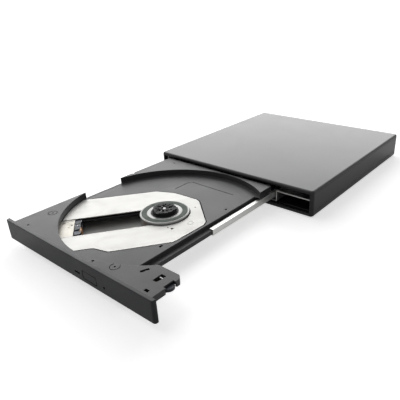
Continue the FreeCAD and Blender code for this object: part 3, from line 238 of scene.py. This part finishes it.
def make_drawn_lines():
    group, given, made = start_group(
        "drawn_lines",
        [("Stretch", "Vector", (900.0, 40.0, 900.0)), ("Turn", "Float", 0.0)],
        [("Height", "Float"), ("Tone", "Float")])
    place = add(group, "ShaderNodeTexCoord").outputs["Object"]
    rotate = add(group, "ShaderNodeVectorRotate", rotation_type="Z_AXIS")
    link(group, place, rotate.inputs["Vector"])
    link(group, given["Turn"], rotate.inputs["Angle"])
    stretch = add(group, "ShaderNodeVectorMath", operation="MULTIPLY")
    link(group, rotate.outputs["Vector"], stretch.inputs[0])
    link(group, given["Stretch"], stretch.inputs[1])
    lines = noise(group, stretch.outputs["Vector"], 1.0, detail=5.0, roughness=0.7)
    link(group, remap(group, lines, 0.3, 0.7), made["Height"])
    broad = noise(group, stretch.outputs["Vector"], 0.12, detail=3.0)
    link(group, remap(group, broad, 0.32, 0.68), made["Tone"])
    return group


def make_turned_rings():
    group, given, made = start_group(
        "turned_rings",
        [("Centre", "Vector", (0.0, 0.0, 0.0)), ("Rings Per Metre", "Float", 4000.0)],
        [("Height", "Float"), ("Tone", "Float")])
    place = add(group, "ShaderNodeTexCoord").outputs["Object"]
    offset = add(group, "ShaderNodeVectorMath", operation="SUBTRACT")
    link(group, place, offset.inputs[0])
    link(group, given["Centre"], offset.inputs[1])
    flat = add(group, "ShaderNodeVectorMath", operation="MULTIPLY")
    flat.inputs[1].default_value = (1.0, 1.0, 0.0)
    link(group, offset.outputs["Vector"], flat.inputs[0])
    length = add(group, "ShaderNodeVectorMath", operation="LENGTH")
    link(group, flat.outputs["Vector"], length.inputs[0])
    radius = maths(group, "MULTIPLY", length.outputs["Value"], given["Rings Per Metre"])
    line = add(group, "ShaderNodeTexNoise", {"Scale": 1.0, "Detail": 4.0}, noise_dimensions="1D")
    link(group, radius, line.inputs["W"])
    link(group, remap(group, line.outputs["Fac"], 0.3, 0.7), made["Height"])
    broad = add(group, "ShaderNodeTexNoise", {"Scale": 0.15, "Detail": 2.0}, noise_dimensions="1D")
    link(group, radius, broad.inputs["W"])
    link(group, remap(group, broad.outputs["Fac"], 0.32, 0.68), made["Tone"])
    return group


def make_printed_tracks():
    group, given, made = start_group(
        "printed_tracks",
        [("Across", "Vector", (1.0, 0.0, 0.0)),
         ("Tracks Per Metre", "Float", 1000.0),
         ("Share", "Float", 0.5)],
        [("Track", "Float"), ("Height", "Float")])
    place = add(group, "ShaderNodeTexCoord").outputs["Object"]
    across = add(group, "ShaderNodeVectorMath", operation="DOT_PRODUCT")
    link(group, place, across.inputs[0])
    link(group, given["Across"], across.inputs[1])
    wave = maths(group, "MULTIPLY", across.outputs["Value"], given["Tracks Per Metre"])
    saw = maths(group, "FRACT", wave)
    middle = maths(group, "ABSOLUTE", maths(group, "SUBTRACT", saw, 0.5))
    half = maths(group, "MULTIPLY", given["Share"], 0.5)
    edge = maths(group, "SUBTRACT", half, middle)
    track = remap(group, edge, -0.03, 0.03)
    link(group, track, made["Track"])
    link(group, track, made["Height"])
    return group


GRAIN = make_mould_grain()
EDGES = make_rubbed_edges()
MARKS = make_handling_marks()
LINES = make_drawn_lines()
RINGS = make_turned_rings()
TRACKS = make_printed_tracks()


def effect(tree, group, **values):
    node = add(tree, "ShaderNodeGroup", node_tree=group)
    for label, value in values.items():
        node.inputs[label.replace("_", " ")].default_value = value
    return node.outputs


def new_finish(name, **plain):
    material = bpy.data.materials.new(name)
    material.use_nodes = True
    tree = material.node_tree
    shader = tree.nodes["Principled BSDF"]
    for label, value in plain.items():
        shader.inputs[label.replace("_", " ")].default_value = value
    return material, tree, shader


def raise_surface(tree, shader, height, depth, normal=None):
    bump = add(tree, "ShaderNodeBump", {"Strength": 1.0, "Distance": depth})
    link(tree, height, bump.inputs["Height"])
    if normal is not None:
        link(tree, normal, bump.inputs["Normal"])
    link(tree, bump.outputs["Normal"], shader.inputs["Normal"])


# Finishes; colours are linear, and depths, radii and the widths of the edge wear and painted highlight are in
# metres

# The metals' edge colours: bare metal where worn, and also a painted highlight along the edges
BARE_STEEL_AND_HIGHLIGHT = (0.95, 0.95, 0.94)
WORN_CASTING_AND_HIGHLIGHT = (0.8, 0.8, 0.8)
SOLDER_MASK = ((0.004, 0.055, 0.022), (0.006, 0.08, 0.032))
MASKED_COPPER = (0.012, 0.16, 0.06)
TINNED_VIA = (0.62, 0.58, 0.48)


def plastic(name, colour, pale, wear_and_highlight, roughness, grain=6000.0, depth=0.000004, mottle=60.0,
            edge=0.0003, reach=0.6, specks=0.35, ior=1.45, smudge=0.05, uneven=0.07):
    material, tree, shader = new_finish(name, IOR=ior)
    texture = effect(tree, GRAIN, Grain_Scale=grain, Mottle_Scale=mottle)
    edges = effect(tree, EDGES, Radius=edge, Reach=reach)
    marks = effect(tree, MARKS, Scale=28.0, Speck_Scale=800.0)
    body = mix_colours(tree, texture["Mottle"], colour, pale)
    dusted = mix_colours(tree, maths(tree, "MULTIPLY", marks["Specks"], specks), body, wear_and_highlight)
    # Lighter colour along the edges: wear, and also a painted highlight
    edge_wear_and_highlight_colour = mix_colours(tree, edges["Wear And Highlight"], dusted, wear_and_highlight)
    link(tree, edge_wear_and_highlight_colour, shader.inputs["Base Color"])
    varied = maths(tree, "MULTIPLY_ADD", texture["Mottle"], uneven, roughness - uneven / 2)
    smudged = maths(tree, "MULTIPLY_ADD", marks["Smudge"], smudge, varied)
    polished = maths(tree, "MULTIPLY_ADD", edges["Wear And Highlight"], -0.1, smudged)
    link(tree, polished, shader.inputs["Roughness"])
    raise_surface(tree, shader, texture["Height"], depth, edges["Normal"])
    return material


def rubber(name, colour, pale, roughness=0.85, grain=2500.0, depth=0.00002):
    material, tree, shader = new_finish(name, Specular_IOR_Level=0.3)
    texture = effect(tree, GRAIN, Grain_Scale=grain, Mottle_Scale=140.0)
    edges = effect(tree, EDGES, Radius=0.0003, Reach=0.5)
    marks = effect(tree, MARKS, Scale=90.0, Speck_Scale=1500.0)
    body = mix_colours(tree, texture["Mottle"], colour, pale)
    dusted = mix_colours(tree, maths(tree, "MULTIPLY", marks["Smudge"], 0.35), body, pale)
    # Paler colour along the edges: wear, and also a painted highlight
    edge_wear_and_highlight_colour = mix_colours(tree, maths(tree, "MULTIPLY", edges["Wear And Highlight"], 0.5), dusted, pale)
    link(tree, edge_wear_and_highlight_colour, shader.inputs["Base Color"])
    link(tree, maths(tree, "MULTIPLY_ADD", marks["Smudge"], -0.12, roughness), shader.inputs["Roughness"])
    raise_surface(tree, shader, texture["Height"], depth, edges["Normal"])
    return material


def drawn_metal(name, colour, dull, roughness, stretch=(900.0, 30.0, 900.0), turn=0.0, depth=0.0000015,
                tone=0.25, metallic=1.0, bright=BARE_STEEL_AND_HIGHLIGHT):
    material, tree, shader = new_finish(name, Metallic=metallic)
    lines = effect(tree, LINES, Stretch=stretch, Turn=turn)
    edges = effect(tree, EDGES, Radius=0.0002, Reach=0.8)
    marks = effect(tree, MARKS, Scale=45.0, Speck_Scale=1200.0)
    body = mix_colours(tree, maths(tree, "MULTIPLY", lines["Tone"], tone), colour, dull)
    stained = mix_colours(tree, maths(tree, "MULTIPLY", marks["Smudge"], tone), body, dull)
    # Edges mixed towards the bright colour: wear, and also a painted highlight
    edge_wear_and_highlight_colour = mix_colours(tree, maths(tree, "MULTIPLY", edges["Wear And Highlight"], 0.6), stained, bright)
    link(tree, edge_wear_and_highlight_colour, shader.inputs["Base Color"])
    uneven = maths(tree, "MULTIPLY_ADD", lines["Height"], 0.12, roughness - 0.06)
    link(tree, maths(tree, "MULTIPLY_ADD", marks["Smudge"], 0.08, uneven), shader.inputs["Roughness"])
    raise_surface(tree, shader, lines["Height"], depth, edges["Normal"])
    return material


def turned_metal(name, colour, dull, roughness, centre, metallic):
    material, tree, shader = new_finish(name, Metallic=metallic)
    turned = effect(tree, RINGS, Centre=centre, Rings_Per_Metre=6000.0)
    edges = effect(tree, EDGES, Radius=0.0002, Reach=0.8)
    marks = effect(tree, MARKS, Scale=120.0, Speck_Scale=2200.0)
    body = mix_colours(tree, maths(tree, "MULTIPLY", turned["Tone"], 0.5), colour, dull)
    # Edges mixed towards bright steel: wear, and also a painted highlight
    edge_wear_and_highlight_colour = mix_colours(tree, maths(tree, "MULTIPLY", edges["Wear And Highlight"], 0.5), body, BARE_STEEL_AND_HIGHLIGHT)
    link(tree, edge_wear_and_highlight_colour, shader.inputs["Base Color"])
    uneven = maths(tree, "MULTIPLY_ADD", turned["Height"], 0.1, roughness - 0.05)
    link(tree, maths(tree, "MULTIPLY_ADD", marks["Smudge"], 0.06, uneven), shader.inputs["Roughness"])
    raise_surface(tree, shader, turned["Height"], 0.000002, edges["Normal"])
    return material


def cast_metal(name, colour, dull, roughness):
    material, tree, shader = new_finish(name, Metallic=1.0)
    texture = effect(tree, GRAIN, Grain_Scale=1800.0, Mottle_Scale=180.0)
    edges = effect(tree, EDGES, Radius=0.00025, Reach=0.9)
    marks = effect(tree, MARKS, Scale=150.0, Speck_Scale=1800.0)
    body = mix_colours(tree, texture["Mottle"], colour, dull)
    stained = mix_colours(tree, maths(tree, "MULTIPLY", marks["Smudge"], 0.4), body, dull)
    # Edges mixed towards the pale casting colour: wear, and also a painted highlight
    edge_wear_and_highlight_colour = mix_colours(tree, edges["Wear And Highlight"], stained, WORN_CASTING_AND_HIGHLIGHT)
    link(tree, edge_wear_and_highlight_colour, shader.inputs["Base Color"])
    uneven = maths(tree, "MULTIPLY_ADD", texture["Mottle"], 0.15, roughness - 0.07)
    link(tree, uneven, shader.inputs["Roughness"])
    raise_surface(tree, shader, texture["Height"], 0.00001, edges["Normal"])
    return material


def printed_film(name, film, copper, across, per_metre):
    material, tree, shader = new_finish(name, Coat_Roughness=0.2)
    tracks = effect(tree, TRACKS, Across=across, Tracks_Per_Metre=per_metre, Share=0.55)
    texture = effect(tree, GRAIN, Grain_Scale=3000.0, Mottle_Scale=220.0)
    printed = mix_colours(tree, tracks["Track"], film, copper)
    aged = mix_colours(tree, maths(tree, "MULTIPLY", texture["Mottle"], 0.25), printed, film)
    link(tree, aged, shader.inputs["Base Color"])
    link(tree, maths(tree, "MULTIPLY_ADD", tracks["Track"], -0.08, 0.35), shader.inputs["Roughness"])
    link(tree, remap(tree, texture["Mottle"], 0.0, 1.0, 0.2, 0.45), shader.inputs["Coat Weight"])
    raise_surface(tree, shader, tracks["Height"], 0.00001)
    return material


def circuit_board(name):
    """Green solder mask over tracks that run one way or the other by zone, with tinned vias."""
    material, tree, shader = new_finish(name)
    texture = effect(tree, GRAIN, Grain_Scale=2600.0, Mottle_Scale=240.0)
    along = effect(tree, TRACKS, Across=(1.0, 0.0, 0.0), Tracks_Per_Metre=850.0, Share=0.45)
    sideways = effect(tree, TRACKS, Across=(0.0, 1.0, 0.0), Tracks_Per_Metre=700.0, Share=0.4)
    place = add(tree, "ShaderNodeTexCoord").outputs["Object"]
    zones = remap(tree, noise(tree, place, 160.0, detail=1.0), 0.48, 0.52)
    both = add(tree, "ShaderNodeMix", data_type="FLOAT")
    link(tree, zones, both.inputs[0])
    link(tree, along["Track"], both.inputs[2])
    link(tree, sideways["Track"], both.inputs[3])
    routed = remap(tree, noise(tree, place, 300.0, detail=1.0), 0.46, 0.5)
    copper = maths(tree, "MULTIPLY", both.outputs[0], routed)
    cells = add(tree, "ShaderNodeTexVoronoi", {"Scale": 520.0}, feature="F1")
    link(tree, place, cells.inputs["Vector"])
    vias = remap(tree, cells.outputs["Distance"], 0.16, 0.13)
    mask = mix_colours(tree, texture["Mottle"], *SOLDER_MASK)
    tracks = mix_colours(tree, maths(tree, "MULTIPLY", copper, 0.75), mask, MASKED_COPPER)
    link(tree, mix_colours(tree, vias, tracks, TINNED_VIA), shader.inputs["Base Color"])
    link(tree, maths(tree, "MULTIPLY", vias, 0.9), shader.inputs["Metallic"])
    link(tree, maths(tree, "MULTIPLY_ADD", texture["Mottle"], 0.1, 0.3), shader.inputs["Roughness"])
    raised = maths(tree, "MULTIPLY_ADD", copper, 0.7, maths(tree, "MULTIPLY", vias, 0.5))
    raise_surface(tree, shader, raised, 0.00003)
    return material


def smoked_window(name):
    material, tree, shader = new_finish(name, Transmission_Weight=0.35, IOR=1.49, Metallic=0.0)
    texture = effect(tree, GRAIN, Grain_Scale=1500.0, Mottle_Scale=200.0)
    tint = mix_colours(tree, texture["Mottle"], (0.018, 0.022, 0.02), (0.03, 0.036, 0.032))
    link(tree, tint, shader.inputs["Base Color"])
    link(tree, maths(tree, "MULTIPLY_ADD", texture["Mottle"], 0.08, 0.12), shader.inputs["Roughness"])
    raise_surface(tree, shader, texture["Height"], 0.000002)
    return material


def coated_glass(name):
    material, tree, shader = new_finish(name, Transmission_Weight=0.9, IOR=1.55, Metallic=0.0)
    texture = effect(tree, GRAIN, Grain_Scale=900.0, Mottle_Scale=700.0)
    tint = mix_colours(tree, texture["Mottle"], (0.32, 0.38, 0.72), (0.46, 0.42, 0.78))
    link(tree, tint, shader.inputs["Base Color"])
    link(tree, maths(tree, "MULTIPLY_ADD", texture["Mottle"], 0.03, 0.02), shader.inputs["Roughness"])
    return material


finishes = {
    "shell_plastic": plastic(
        "satin_black_shell", (0.013, 0.013, 0.014), (0.019, 0.019, 0.020), (0.06, 0.06, 0.062), 0.30,
        grain=9000.0, depth=0.000001, mottle=45.0, edge=0.0005, reach=0.3, specks=0.2, ior=1.33,
        smudge=0.015, uneven=0.02),
    "tray_plastic": plastic(
        "charcoal_tray_plastic", (0.026, 0.026, 0.028), (0.036, 0.036, 0.038), (0.14, 0.14, 0.145), 0.46,
        grain=5200.0, depth=0.000008, mottle=70.0, edge=0.00025, reach=0.6, ior=1.40, smudge=0.03,
        uneven=0.05),
    "bezel_plastic": plastic(
        "bezel_plastic", (0.008, 0.009, 0.011), (0.012, 0.013, 0.0155), (0.05, 0.05, 0.055), 0.40,
        grain=6500.0, depth=0.0000025, mottle=55.0, edge=0.0004, reach=0.4, ior=1.33),
    "guide_plastic": plastic(
        "slide_guide_nylon", (0.020, 0.020, 0.021), (0.028, 0.028, 0.030), (0.08, 0.08, 0.08), 0.5),
    "chip_black": plastic(
        "moulded_epoxy", (0.018, 0.018, 0.019), (0.028, 0.028, 0.029), (0.10, 0.10, 0.10), 0.6,
        grain=3200.0, depth=0.000006, mottle=300.0, edge=0.0001),
    "hub_plastic": plastic(
        "hub_acetal", (0.005, 0.005, 0.006), (0.009, 0.009, 0.010), (0.05, 0.05, 0.055), 0.55,
        grain=5000.0, depth=0.000002, mottle=500.0, edge=0.0003, reach=0.8, ior=1.26),
    "holder_plastic": plastic(
        "glass_filled_polymer", (0.010, 0.012, 0.018), (0.020, 0.023, 0.032), (0.10, 0.10, 0.12), 0.45,
        grain=4200.0, depth=0.000005, mottle=400.0, edge=0.0001, ior=1.4),
    "foot_rubber": rubber("foot_rubber", (0.020, 0.020, 0.021), (0.05, 0.05, 0.05)),
    "ring_rubber": rubber(
        "turntable_rubber", (0.075, 0.090, 0.078), (0.13, 0.15, 0.13), roughness=0.75, grain=5200.0,
        depth=0.000012),
    "bright_plate": drawn_metal(
        "bright_cover_plate", (0.51, 0.506, 0.487), (0.44, 0.436, 0.418), 0.44, stretch=(260.0, 26.0, 260.0),
        turn=0.6, depth=0.0000008, tone=0.3, metallic=0.42),
    "rail_steel": drawn_metal(
        "rail_steel", (0.68, 0.68, 0.66), (0.54, 0.54, 0.53), 0.42, stretch=(2200.0, 18.0, 2200.0)),
    "pan_steel": drawn_metal(
        "zinc_plated_steel", (0.52, 0.52, 0.51), (0.38, 0.38, 0.37), 0.40, stretch=(420.0, 60.0, 420.0),
        tone=0.5),
    "frame_steel": drawn_metal(
        "phosphated_frame", (0.045, 0.045, 0.048), (0.025, 0.025, 0.027), 0.5, stretch=(300.0, 80.0, 300.0),
        turn=0.7, tone=0.5, bright=(0.3, 0.3, 0.3)),
    "rod_steel": drawn_metal(
        "ground_rod_steel", (0.60, 0.60, 0.60), (0.46, 0.46, 0.46), 0.28, stretch=(120.0, 120.0, 3000.0),
        depth=0.0000006),
    "spring_steel": drawn_metal(
        "spring_wire", (0.52, 0.52, 0.52), (0.36, 0.36, 0.36), 0.3, stretch=(700.0, 700.0, 700.0)),
    "screw_steel": drawn_metal(
        "screw_steel", (0.56, 0.56, 0.55), (0.36, 0.36, 0.35), 0.34, stretch=(900.0, 900.0, 900.0),
        tone=0.5),
    "socket_metal": drawn_metal(
        "tinned_socket_shell", (0.64, 0.63, 0.60), (0.46, 0.45, 0.42), 0.3, stretch=(300.0, 1200.0, 300.0),
        tone=0.4),
    "cover_metal": drawn_metal(
        "plated_pickup_cover", (0.56, 0.54, 0.49), (0.42, 0.39, 0.33), 0.36, stretch=(320.0, 90.0, 320.0),
        turn=-0.66, tone=0.5, metallic=0.35),
    "magnet_metal": drawn_metal(
        "solenoid_steel", (0.15, 0.13, 0.115), (0.09, 0.08, 0.07), 0.4, stretch=(2600.0, 500.0, 500.0)),
    "rotor_metal": turned_metal(
        "turned_rotor", (0.30, 0.305, 0.295), (0.22, 0.222, 0.216), 0.38, tuple(DISC_AXIS), 0.6),
    "sled_metal": cast_metal("cast_sled_metal", (0.07, 0.075, 0.085), (0.04, 0.042, 0.05), 0.5),
    "board_green": circuit_board("green_circuit_board"),
    "flex_film": printed_film(
        "pickup_flex_film", (0.30, 0.11, 0.02), (0.50, 0.26, 0.09), tuple(SLED_ACROSS), 1600.0),
    "clear_plastic": smoked_window("smoked_light_window"),
    "lens_glass": coated_glass("coated_lens_glass"),
}

flat_cable_film = printed_film(
    "flat_cable_film", (0.09, 0.04, 0.014), (0.16, 0.085, 0.035), (1.0, 0.0, 0.0), 1000.0)


def dress(piece, finish):
    if not piece.material_slots:
        piece.data.materials.append(finish)
    for slot in piece.material_slots:
        slot.material = finish


def dress_nodes():
    for row in frame["record"]["subparts"]:
        dress(nodes[row["node"]], finishes[row["material_slot"]])


# Pieces

def mesh_piece(name, bm, body, finish):
    """A smooth piece made of bm's mesh, which moves with the body."""
    bmesh.ops.recalc_face_normals(bm, faces=bm.faces)
    mesh = bpy.data.meshes.new(name)
    bm.to_mesh(mesh)
    bm.free()
    piece = bpy.data.objects.new(name, mesh)
    scene.collection.objects.link(piece)
    for polygon in mesh.polygons:
        polygon.use_smooth = True
    dress(piece, finish)
    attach(piece, body)
    return piece


def rounded_route(points, radius, steps):
    """The route with each inner corner turned into a short curve."""
    route = [points[0]]
    for before, corner, after in zip(points, points[1:], points[2:]):
        reach_in = min(radius, (before - corner).length / 2)
        reach_out = min(radius, (after - corner).length / 2)
        start = corner + (before - corner).normalized() * reach_in
        end = corner + (after - corner).normalized() * reach_out
        for step in range(steps + 1):
            t = step / steps
            route.append(start * (1 - t) ** 2 + corner * 2 * t * (1 - t) + end * t ** 2)
    route.append(points[-1])
    return route


def strip_mesh(route, across, thickness):
    """A flat strip of even thickness along a route; across is its whole width as a vector."""
    bm = bmesh.new()
    rows = []
    half = across / 2
    for place, here in enumerate(route):
        ahead = route[min(place + 1, len(route) - 1)] - route[max(place - 1, 0)]
        outward = ahead.normalized().cross(across.normalized()) * thickness / 2
        rows.append([bm.verts.new(here + side * half + lift * outward)
                     for side, lift in ((-1, -1), (1, -1), (1, 1), (-1, 1))])
    for first, second in zip(rows, rows[1:]):
        for k in range(4):
            bm.faces.new((first[k], first[(k + 1) % 4], second[(k + 1) % 4], second[k]))
    bm.faces.new(rows[0])
    bm.faces.new(rows[-1][::-1])
    return bm


# A coil's mesh, and its closed end turns
COIL_SIDES = 8
COIL_STEPS = 18
DEAD_TURNS = 0.8
DEAD_PITCH = 2.2
DEAD_ROOM = 3.2


def coil_mesh(start, along, length, radius, wire, turns):
    """A helical spring with closed end turns. Radius and wire are radii, and DEAD_PITCH and DEAD_ROOM
    are the closed turns' pitch and the room at each end, in wire radii."""
    along = along.normalized()
    first = along.orthogonal().normalized()
    second = along.cross(first)
    bm = bmesh.new()
    rows = []
    whole = turns + 2 * DEAD_TURNS
    count = int(whole * COIL_STEPS)
    room = wire * DEAD_ROOM
    pitch = wire * DEAD_PITCH / DEAD_TURNS
    for step in range(count + 1):
        turn = whole * step / count
        rise = min(max(turn - DEAD_TURNS, 0.0), turns) / turns
        end_lift = pitch * (min(turn, DEAD_TURNS) - DEAD_TURNS + max(turn - DEAD_TURNS - turns, 0.0))
        angle = 2 * math.pi * turn
        radial = first * math.cos(angle) + second * math.sin(angle)
        middle = start + along * (room + rise * (length - 2 * room) + end_lift) + radial * radius
        ring = []
        for k in range(COIL_SIDES):
            around = 2 * math.pi * k / COIL_SIDES
            spoke = radial * math.cos(around) + along * math.sin(around)
            ring.append(bm.verts.new(middle + spoke * wire))
        rows.append(ring)
    for one, two in zip(rows, rows[1:]):
        for k in range(COIL_SIDES):
            after = (k + 1) % COIL_SIDES
            bm.faces.new((one[k], one[after], two[after], two[k]))
    bm.faces.new(rows[0])
    bm.faces.new(rows[-1][::-1])
    return bm


# The flat cable in millimetres
CABLE_THICK = 0.1
CABLE_X = 12.0
CABLE_WIDE = 12.0
CABLE_BEND = 2.2
CABLE_FRONT_Y = -9.5
CABLE_DROP_Y = -4.4
CABLE_FLOOR_Y = 4.0
CABLE_BACK_Y = 122.7
TRAY_BOARD_Z = 6.0
CABLE_LANDING_Z = 3.0
CHASSIS_FLOOR_Z = 2.93

TAIL_Y = 121.0
TAIL_WIDE = 3.6
TAIL_BEND = 0.9
TAIL_LOW_Z = 3.04
TAIL_HIGH_Z = 11.86
TAIL_X = (6.0, 37.95, 44.6)


def build_flat_cable():
    """The flat cable from the tray's board, over the chassis floor to the board at the back."""
    drop = [(CABLE_FRONT_Y, TRAY_BOARD_Z), (CABLE_DROP_Y, TRAY_BOARD_Z),
            (CABLE_DROP_Y + CABLE_BEND, CABLE_LANDING_Z), (CABLE_FLOOR_Y, CHASSIS_FLOOR_Z),
            (CABLE_BACK_Y, CHASSIS_FLOOR_Z)]
    route = rounded_route([at(CABLE_X, y, z) for y, z in drop], CABLE_BEND * MM, steps=8)
    bm = strip_mesh(route, Vector((CABLE_WIDE, 0.0, 0.0)) * MM, CABLE_THICK * MM)
    run = mesh_piece("flat_cable_run", bm, "enclosure", flat_cable_film)
    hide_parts("flex_cable")
    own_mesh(run)


def build_cable_tail():
    """The cable's narrow tail, up the step in the chassis floor to the plug."""
    inner, step, plug = TAIL_X
    climb = [(inner, TAIL_LOW_Z), (step, TAIL_LOW_Z), (step, TAIL_HIGH_Z), (plug, TAIL_HIGH_Z)]
    route = rounded_route([at(x, TAIL_Y, z) for x, z in climb], TAIL_BEND * MM, steps=6)
    bm = strip_mesh(route, FRONT_TO_BACK * TAIL_WIDE * MM, CABLE_THICK * MM)
    mesh_piece("flat_cable_tail", bm, "enclosure", flat_cable_film)


# The pickup's cable in millimetres, out from the disc's centre (S) and across (T)
PICKUP_CABLE_T = 4.5
PICKUP_CABLE_WIDE = 5.8
PICKUP_CABLE_THICK = 0.09
PICKUP_CABLE_BEND = 0.9
UPRIGHT_S = 48.95
UPRIGHT_FOOT_Z = 4.25
UPRIGHT_FOOT_LONG = 2.65
UPRIGHT_TOP_Z = 9.45
UPRIGHT_HEAD_LONG = 1.25
UPRIGHT_HEAD_RISE = 0.45
LYING_Z = 4.12
LYING_S = (20.0, 42.0, 63.6)


def build_pickup_flex():
    """The upright end stands on the pickup, and the run below it lies flat and moves with the tray."""
    across = SLED_ACROSS * PICKUP_CABLE_WIDE * MM
    thickness = PICKUP_CABLE_THICK * MM
    film = finishes["flex_film"]
    rise = [(UPRIGHT_S + UPRIGHT_FOOT_LONG, UPRIGHT_FOOT_Z), (UPRIGHT_S, UPRIGHT_FOOT_Z),
            (UPRIGHT_S, UPRIGHT_TOP_Z),
            (UPRIGHT_S + UPRIGHT_HEAD_LONG, UPRIGHT_TOP_Z + UPRIGHT_HEAD_RISE)]
    upright = [sled_point(s, PICKUP_CABLE_T, z) for s, z in rise]
    bm = strip_mesh(rounded_route(upright, PICKUP_CABLE_BEND * MM, steps=6), across, thickness)
    stand = mesh_piece("pickup_flex_upright", bm, "pickup", film)
    bm = strip_mesh([sled_point(s, PICKUP_CABLE_T, LYING_Z) for s in LYING_S], across, thickness)
    run = mesh_piece("pickup_flex_run", bm, "tray", film)
    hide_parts("pickup_flex")
    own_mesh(run)


def build_spring(name, body, node, start, along, length, radius, wire, turns):
    """A coil that stands for the node, which is hidden."""
    bm = coil_mesh(start, along, length * MM, radius * MM, wire * MM, turns)
    coil = mesh_piece(name, bm, body, finishes["spring_steel"])
    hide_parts(node)
    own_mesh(coil)


# Where the springs' fixed ends sit, in millimetres
EJECTOR_START = (20.0, -28.0, 6.5)
LATCH_FROM_DISC = (47.4, -61.5)
LATCH_Z = 12.3
CLAW_Z = 13.3
CLAW_SEAT_R = 2.62


def build_springs():
    build_spring(
        "ejector_coil", "tray", "ejector_spring", at(*EJECTOR_START), FRONT_TO_BACK,
        length=18.6, radius=1.35, wire=0.18, turns=10.0)
    latch = at(DISC_CENTRE.x + LATCH_FROM_DISC[0], DISC_CENTRE.y + LATCH_FROM_DISC[1], LATCH_Z)
    build_spring(
        "latch_coil", "tray", "latch_spring", latch, FRONT_TO_BACK,
        length=1.25, radius=0.55, wire=0.1, turns=2.0)
    for number in (1, 2, 3):
        joint = "claw_" + str(number) + "_slide"
        out = -Vector(joints[joint]["axis"])
        seat = at(*DISC_CENTRE, CLAW_Z) + out * CLAW_SEAT_R * MM
        build_spring(
            "claw_coil_" + str(number), "spindle", "claw_springs", seat, out,
            length=1.6, radius=0.5, wire=0.09, turns=2.5)


# Studio

# Strengths of the floor's own light: FLOOR_LIFT where it is seen, mirrored or behind glass, and for the
# camera alone CAMERA_LIFT more, and HORIZON_LIFT beyond that, growing from NEAR_FLOOR to FAR_FLOOR metres
FLOOR_LIFT = 0.28
CAMERA_LIFT = 0.34
HORIZON_LIFT = 0.6
NEAR_FLOOR = 0.3
FAR_FLOOR = 1.4
FLOOR_RADIUS = 40.0
ROOM_LIGHT = 0.15
WHITE = (1.0, 1.0, 1.0, 1.0)


def soft_box(name, place, target, width, height, power):
    data = bpy.data.lights.new(name, "AREA")
    data.shape = "RECTANGLE"
    data.size = width
    data.size_y = height
    data.energy = power
    lamp = bpy.data.objects.new(name, data)
    scene.collection.objects.link(lamp)
    lamp.location = place
    lamp.rotation_euler = (Vector(target) - Vector(place)).to_track_quat("-Z", "Y").to_euler()
    lamp.visible_camera = False


def seen_rays(tree):
    """1 for a ray that looks at the room straight, in a reflection or through glass."""
    path = add(tree, "ShaderNodeLightPath")
    both = maths(tree, "MAXIMUM", path.outputs["Is Camera Ray"], path.outputs["Is Glossy Ray"])
    return maths(tree, "MAXIMUM", both, path.outputs["Is Transmission Ray"])


def build_floor():
    """White paper, lifted a little where it is seen, and more towards the horizon."""
    bm = bmesh.new()
    bmesh.ops.create_circle(bm, cap_ends=True, segments=64, radius=FLOOR_RADIUS)
    mesh = bpy.data.meshes.new("studio_floor")
    bm.to_mesh(mesh)
    bm.free()
    floor = bpy.data.objects.new("studio_floor", mesh)
    scene.collection.objects.link(floor)
    material, tree, shader = new_finish("white_paper", Roughness=0.9, Specular_IOR_Level=0.1)
    texture = effect(tree, GRAIN, Grain_Scale=900.0, Mottle_Scale=20.0)
    paper = mix_colours(tree, texture["Mottle"], (0.86, 0.86, 0.86), (0.88, 0.88, 0.88))
    link(tree, paper, shader.inputs["Base Color"])
    place = add(tree, "ShaderNodeTexCoord").outputs["Object"]
    distance = add(tree, "ShaderNodeVectorMath", operation="LENGTH")
    link(tree, place, distance.inputs[0])
    horizon = remap(
        tree, distance.outputs["Value"], NEAR_FLOOR, FAR_FLOOR, CAMERA_LIFT, CAMERA_LIFT + HORIZON_LIFT)
    path = add(tree, "ShaderNodeLightPath")
    far_lift = maths(tree, "MULTIPLY", path.outputs["Is Camera Ray"], horizon)
    lift = maths(tree, "MULTIPLY_ADD", seen_rays(tree), FLOOR_LIFT, far_lift)
    shader.inputs["Emission Color"].default_value = WHITE
    link(tree, lift, shader.inputs["Emission Strength"])
    mesh.materials.append(material)


def build_world():
    world = bpy.data.worlds.new("white_room")
    world.use_nodes = True
    tree = world.node_tree
    background = tree.nodes["Background"]
    background.inputs["Color"].default_value = WHITE
    strength = remap(tree, seen_rays(tree), 0.0, 1.0, ROOM_LIGHT, 1.0)
    link(tree, strength, background.inputs["Strength"])
    scene.world = world


def build_studio():
    build_floor()
    build_world()
    soft_box(
        "top_box", place=(-0.9, -0.1, 1.1), target=(0.0, 0.0, 0.0), width=1.2, height=1.2, power=6.0)
    soft_box(
        "back_box", place=(-0.72, 0.86, 0.56), target=(0.0, 0.0, 0.02), width=1.9, height=0.9, power=15.0)
    scene.view_settings.view_transform = "Standard"


place_camera()
dress_nodes()
build_flat_cable()
build_cable_tail()
build_pickup_flex()
build_springs()
build_studio()
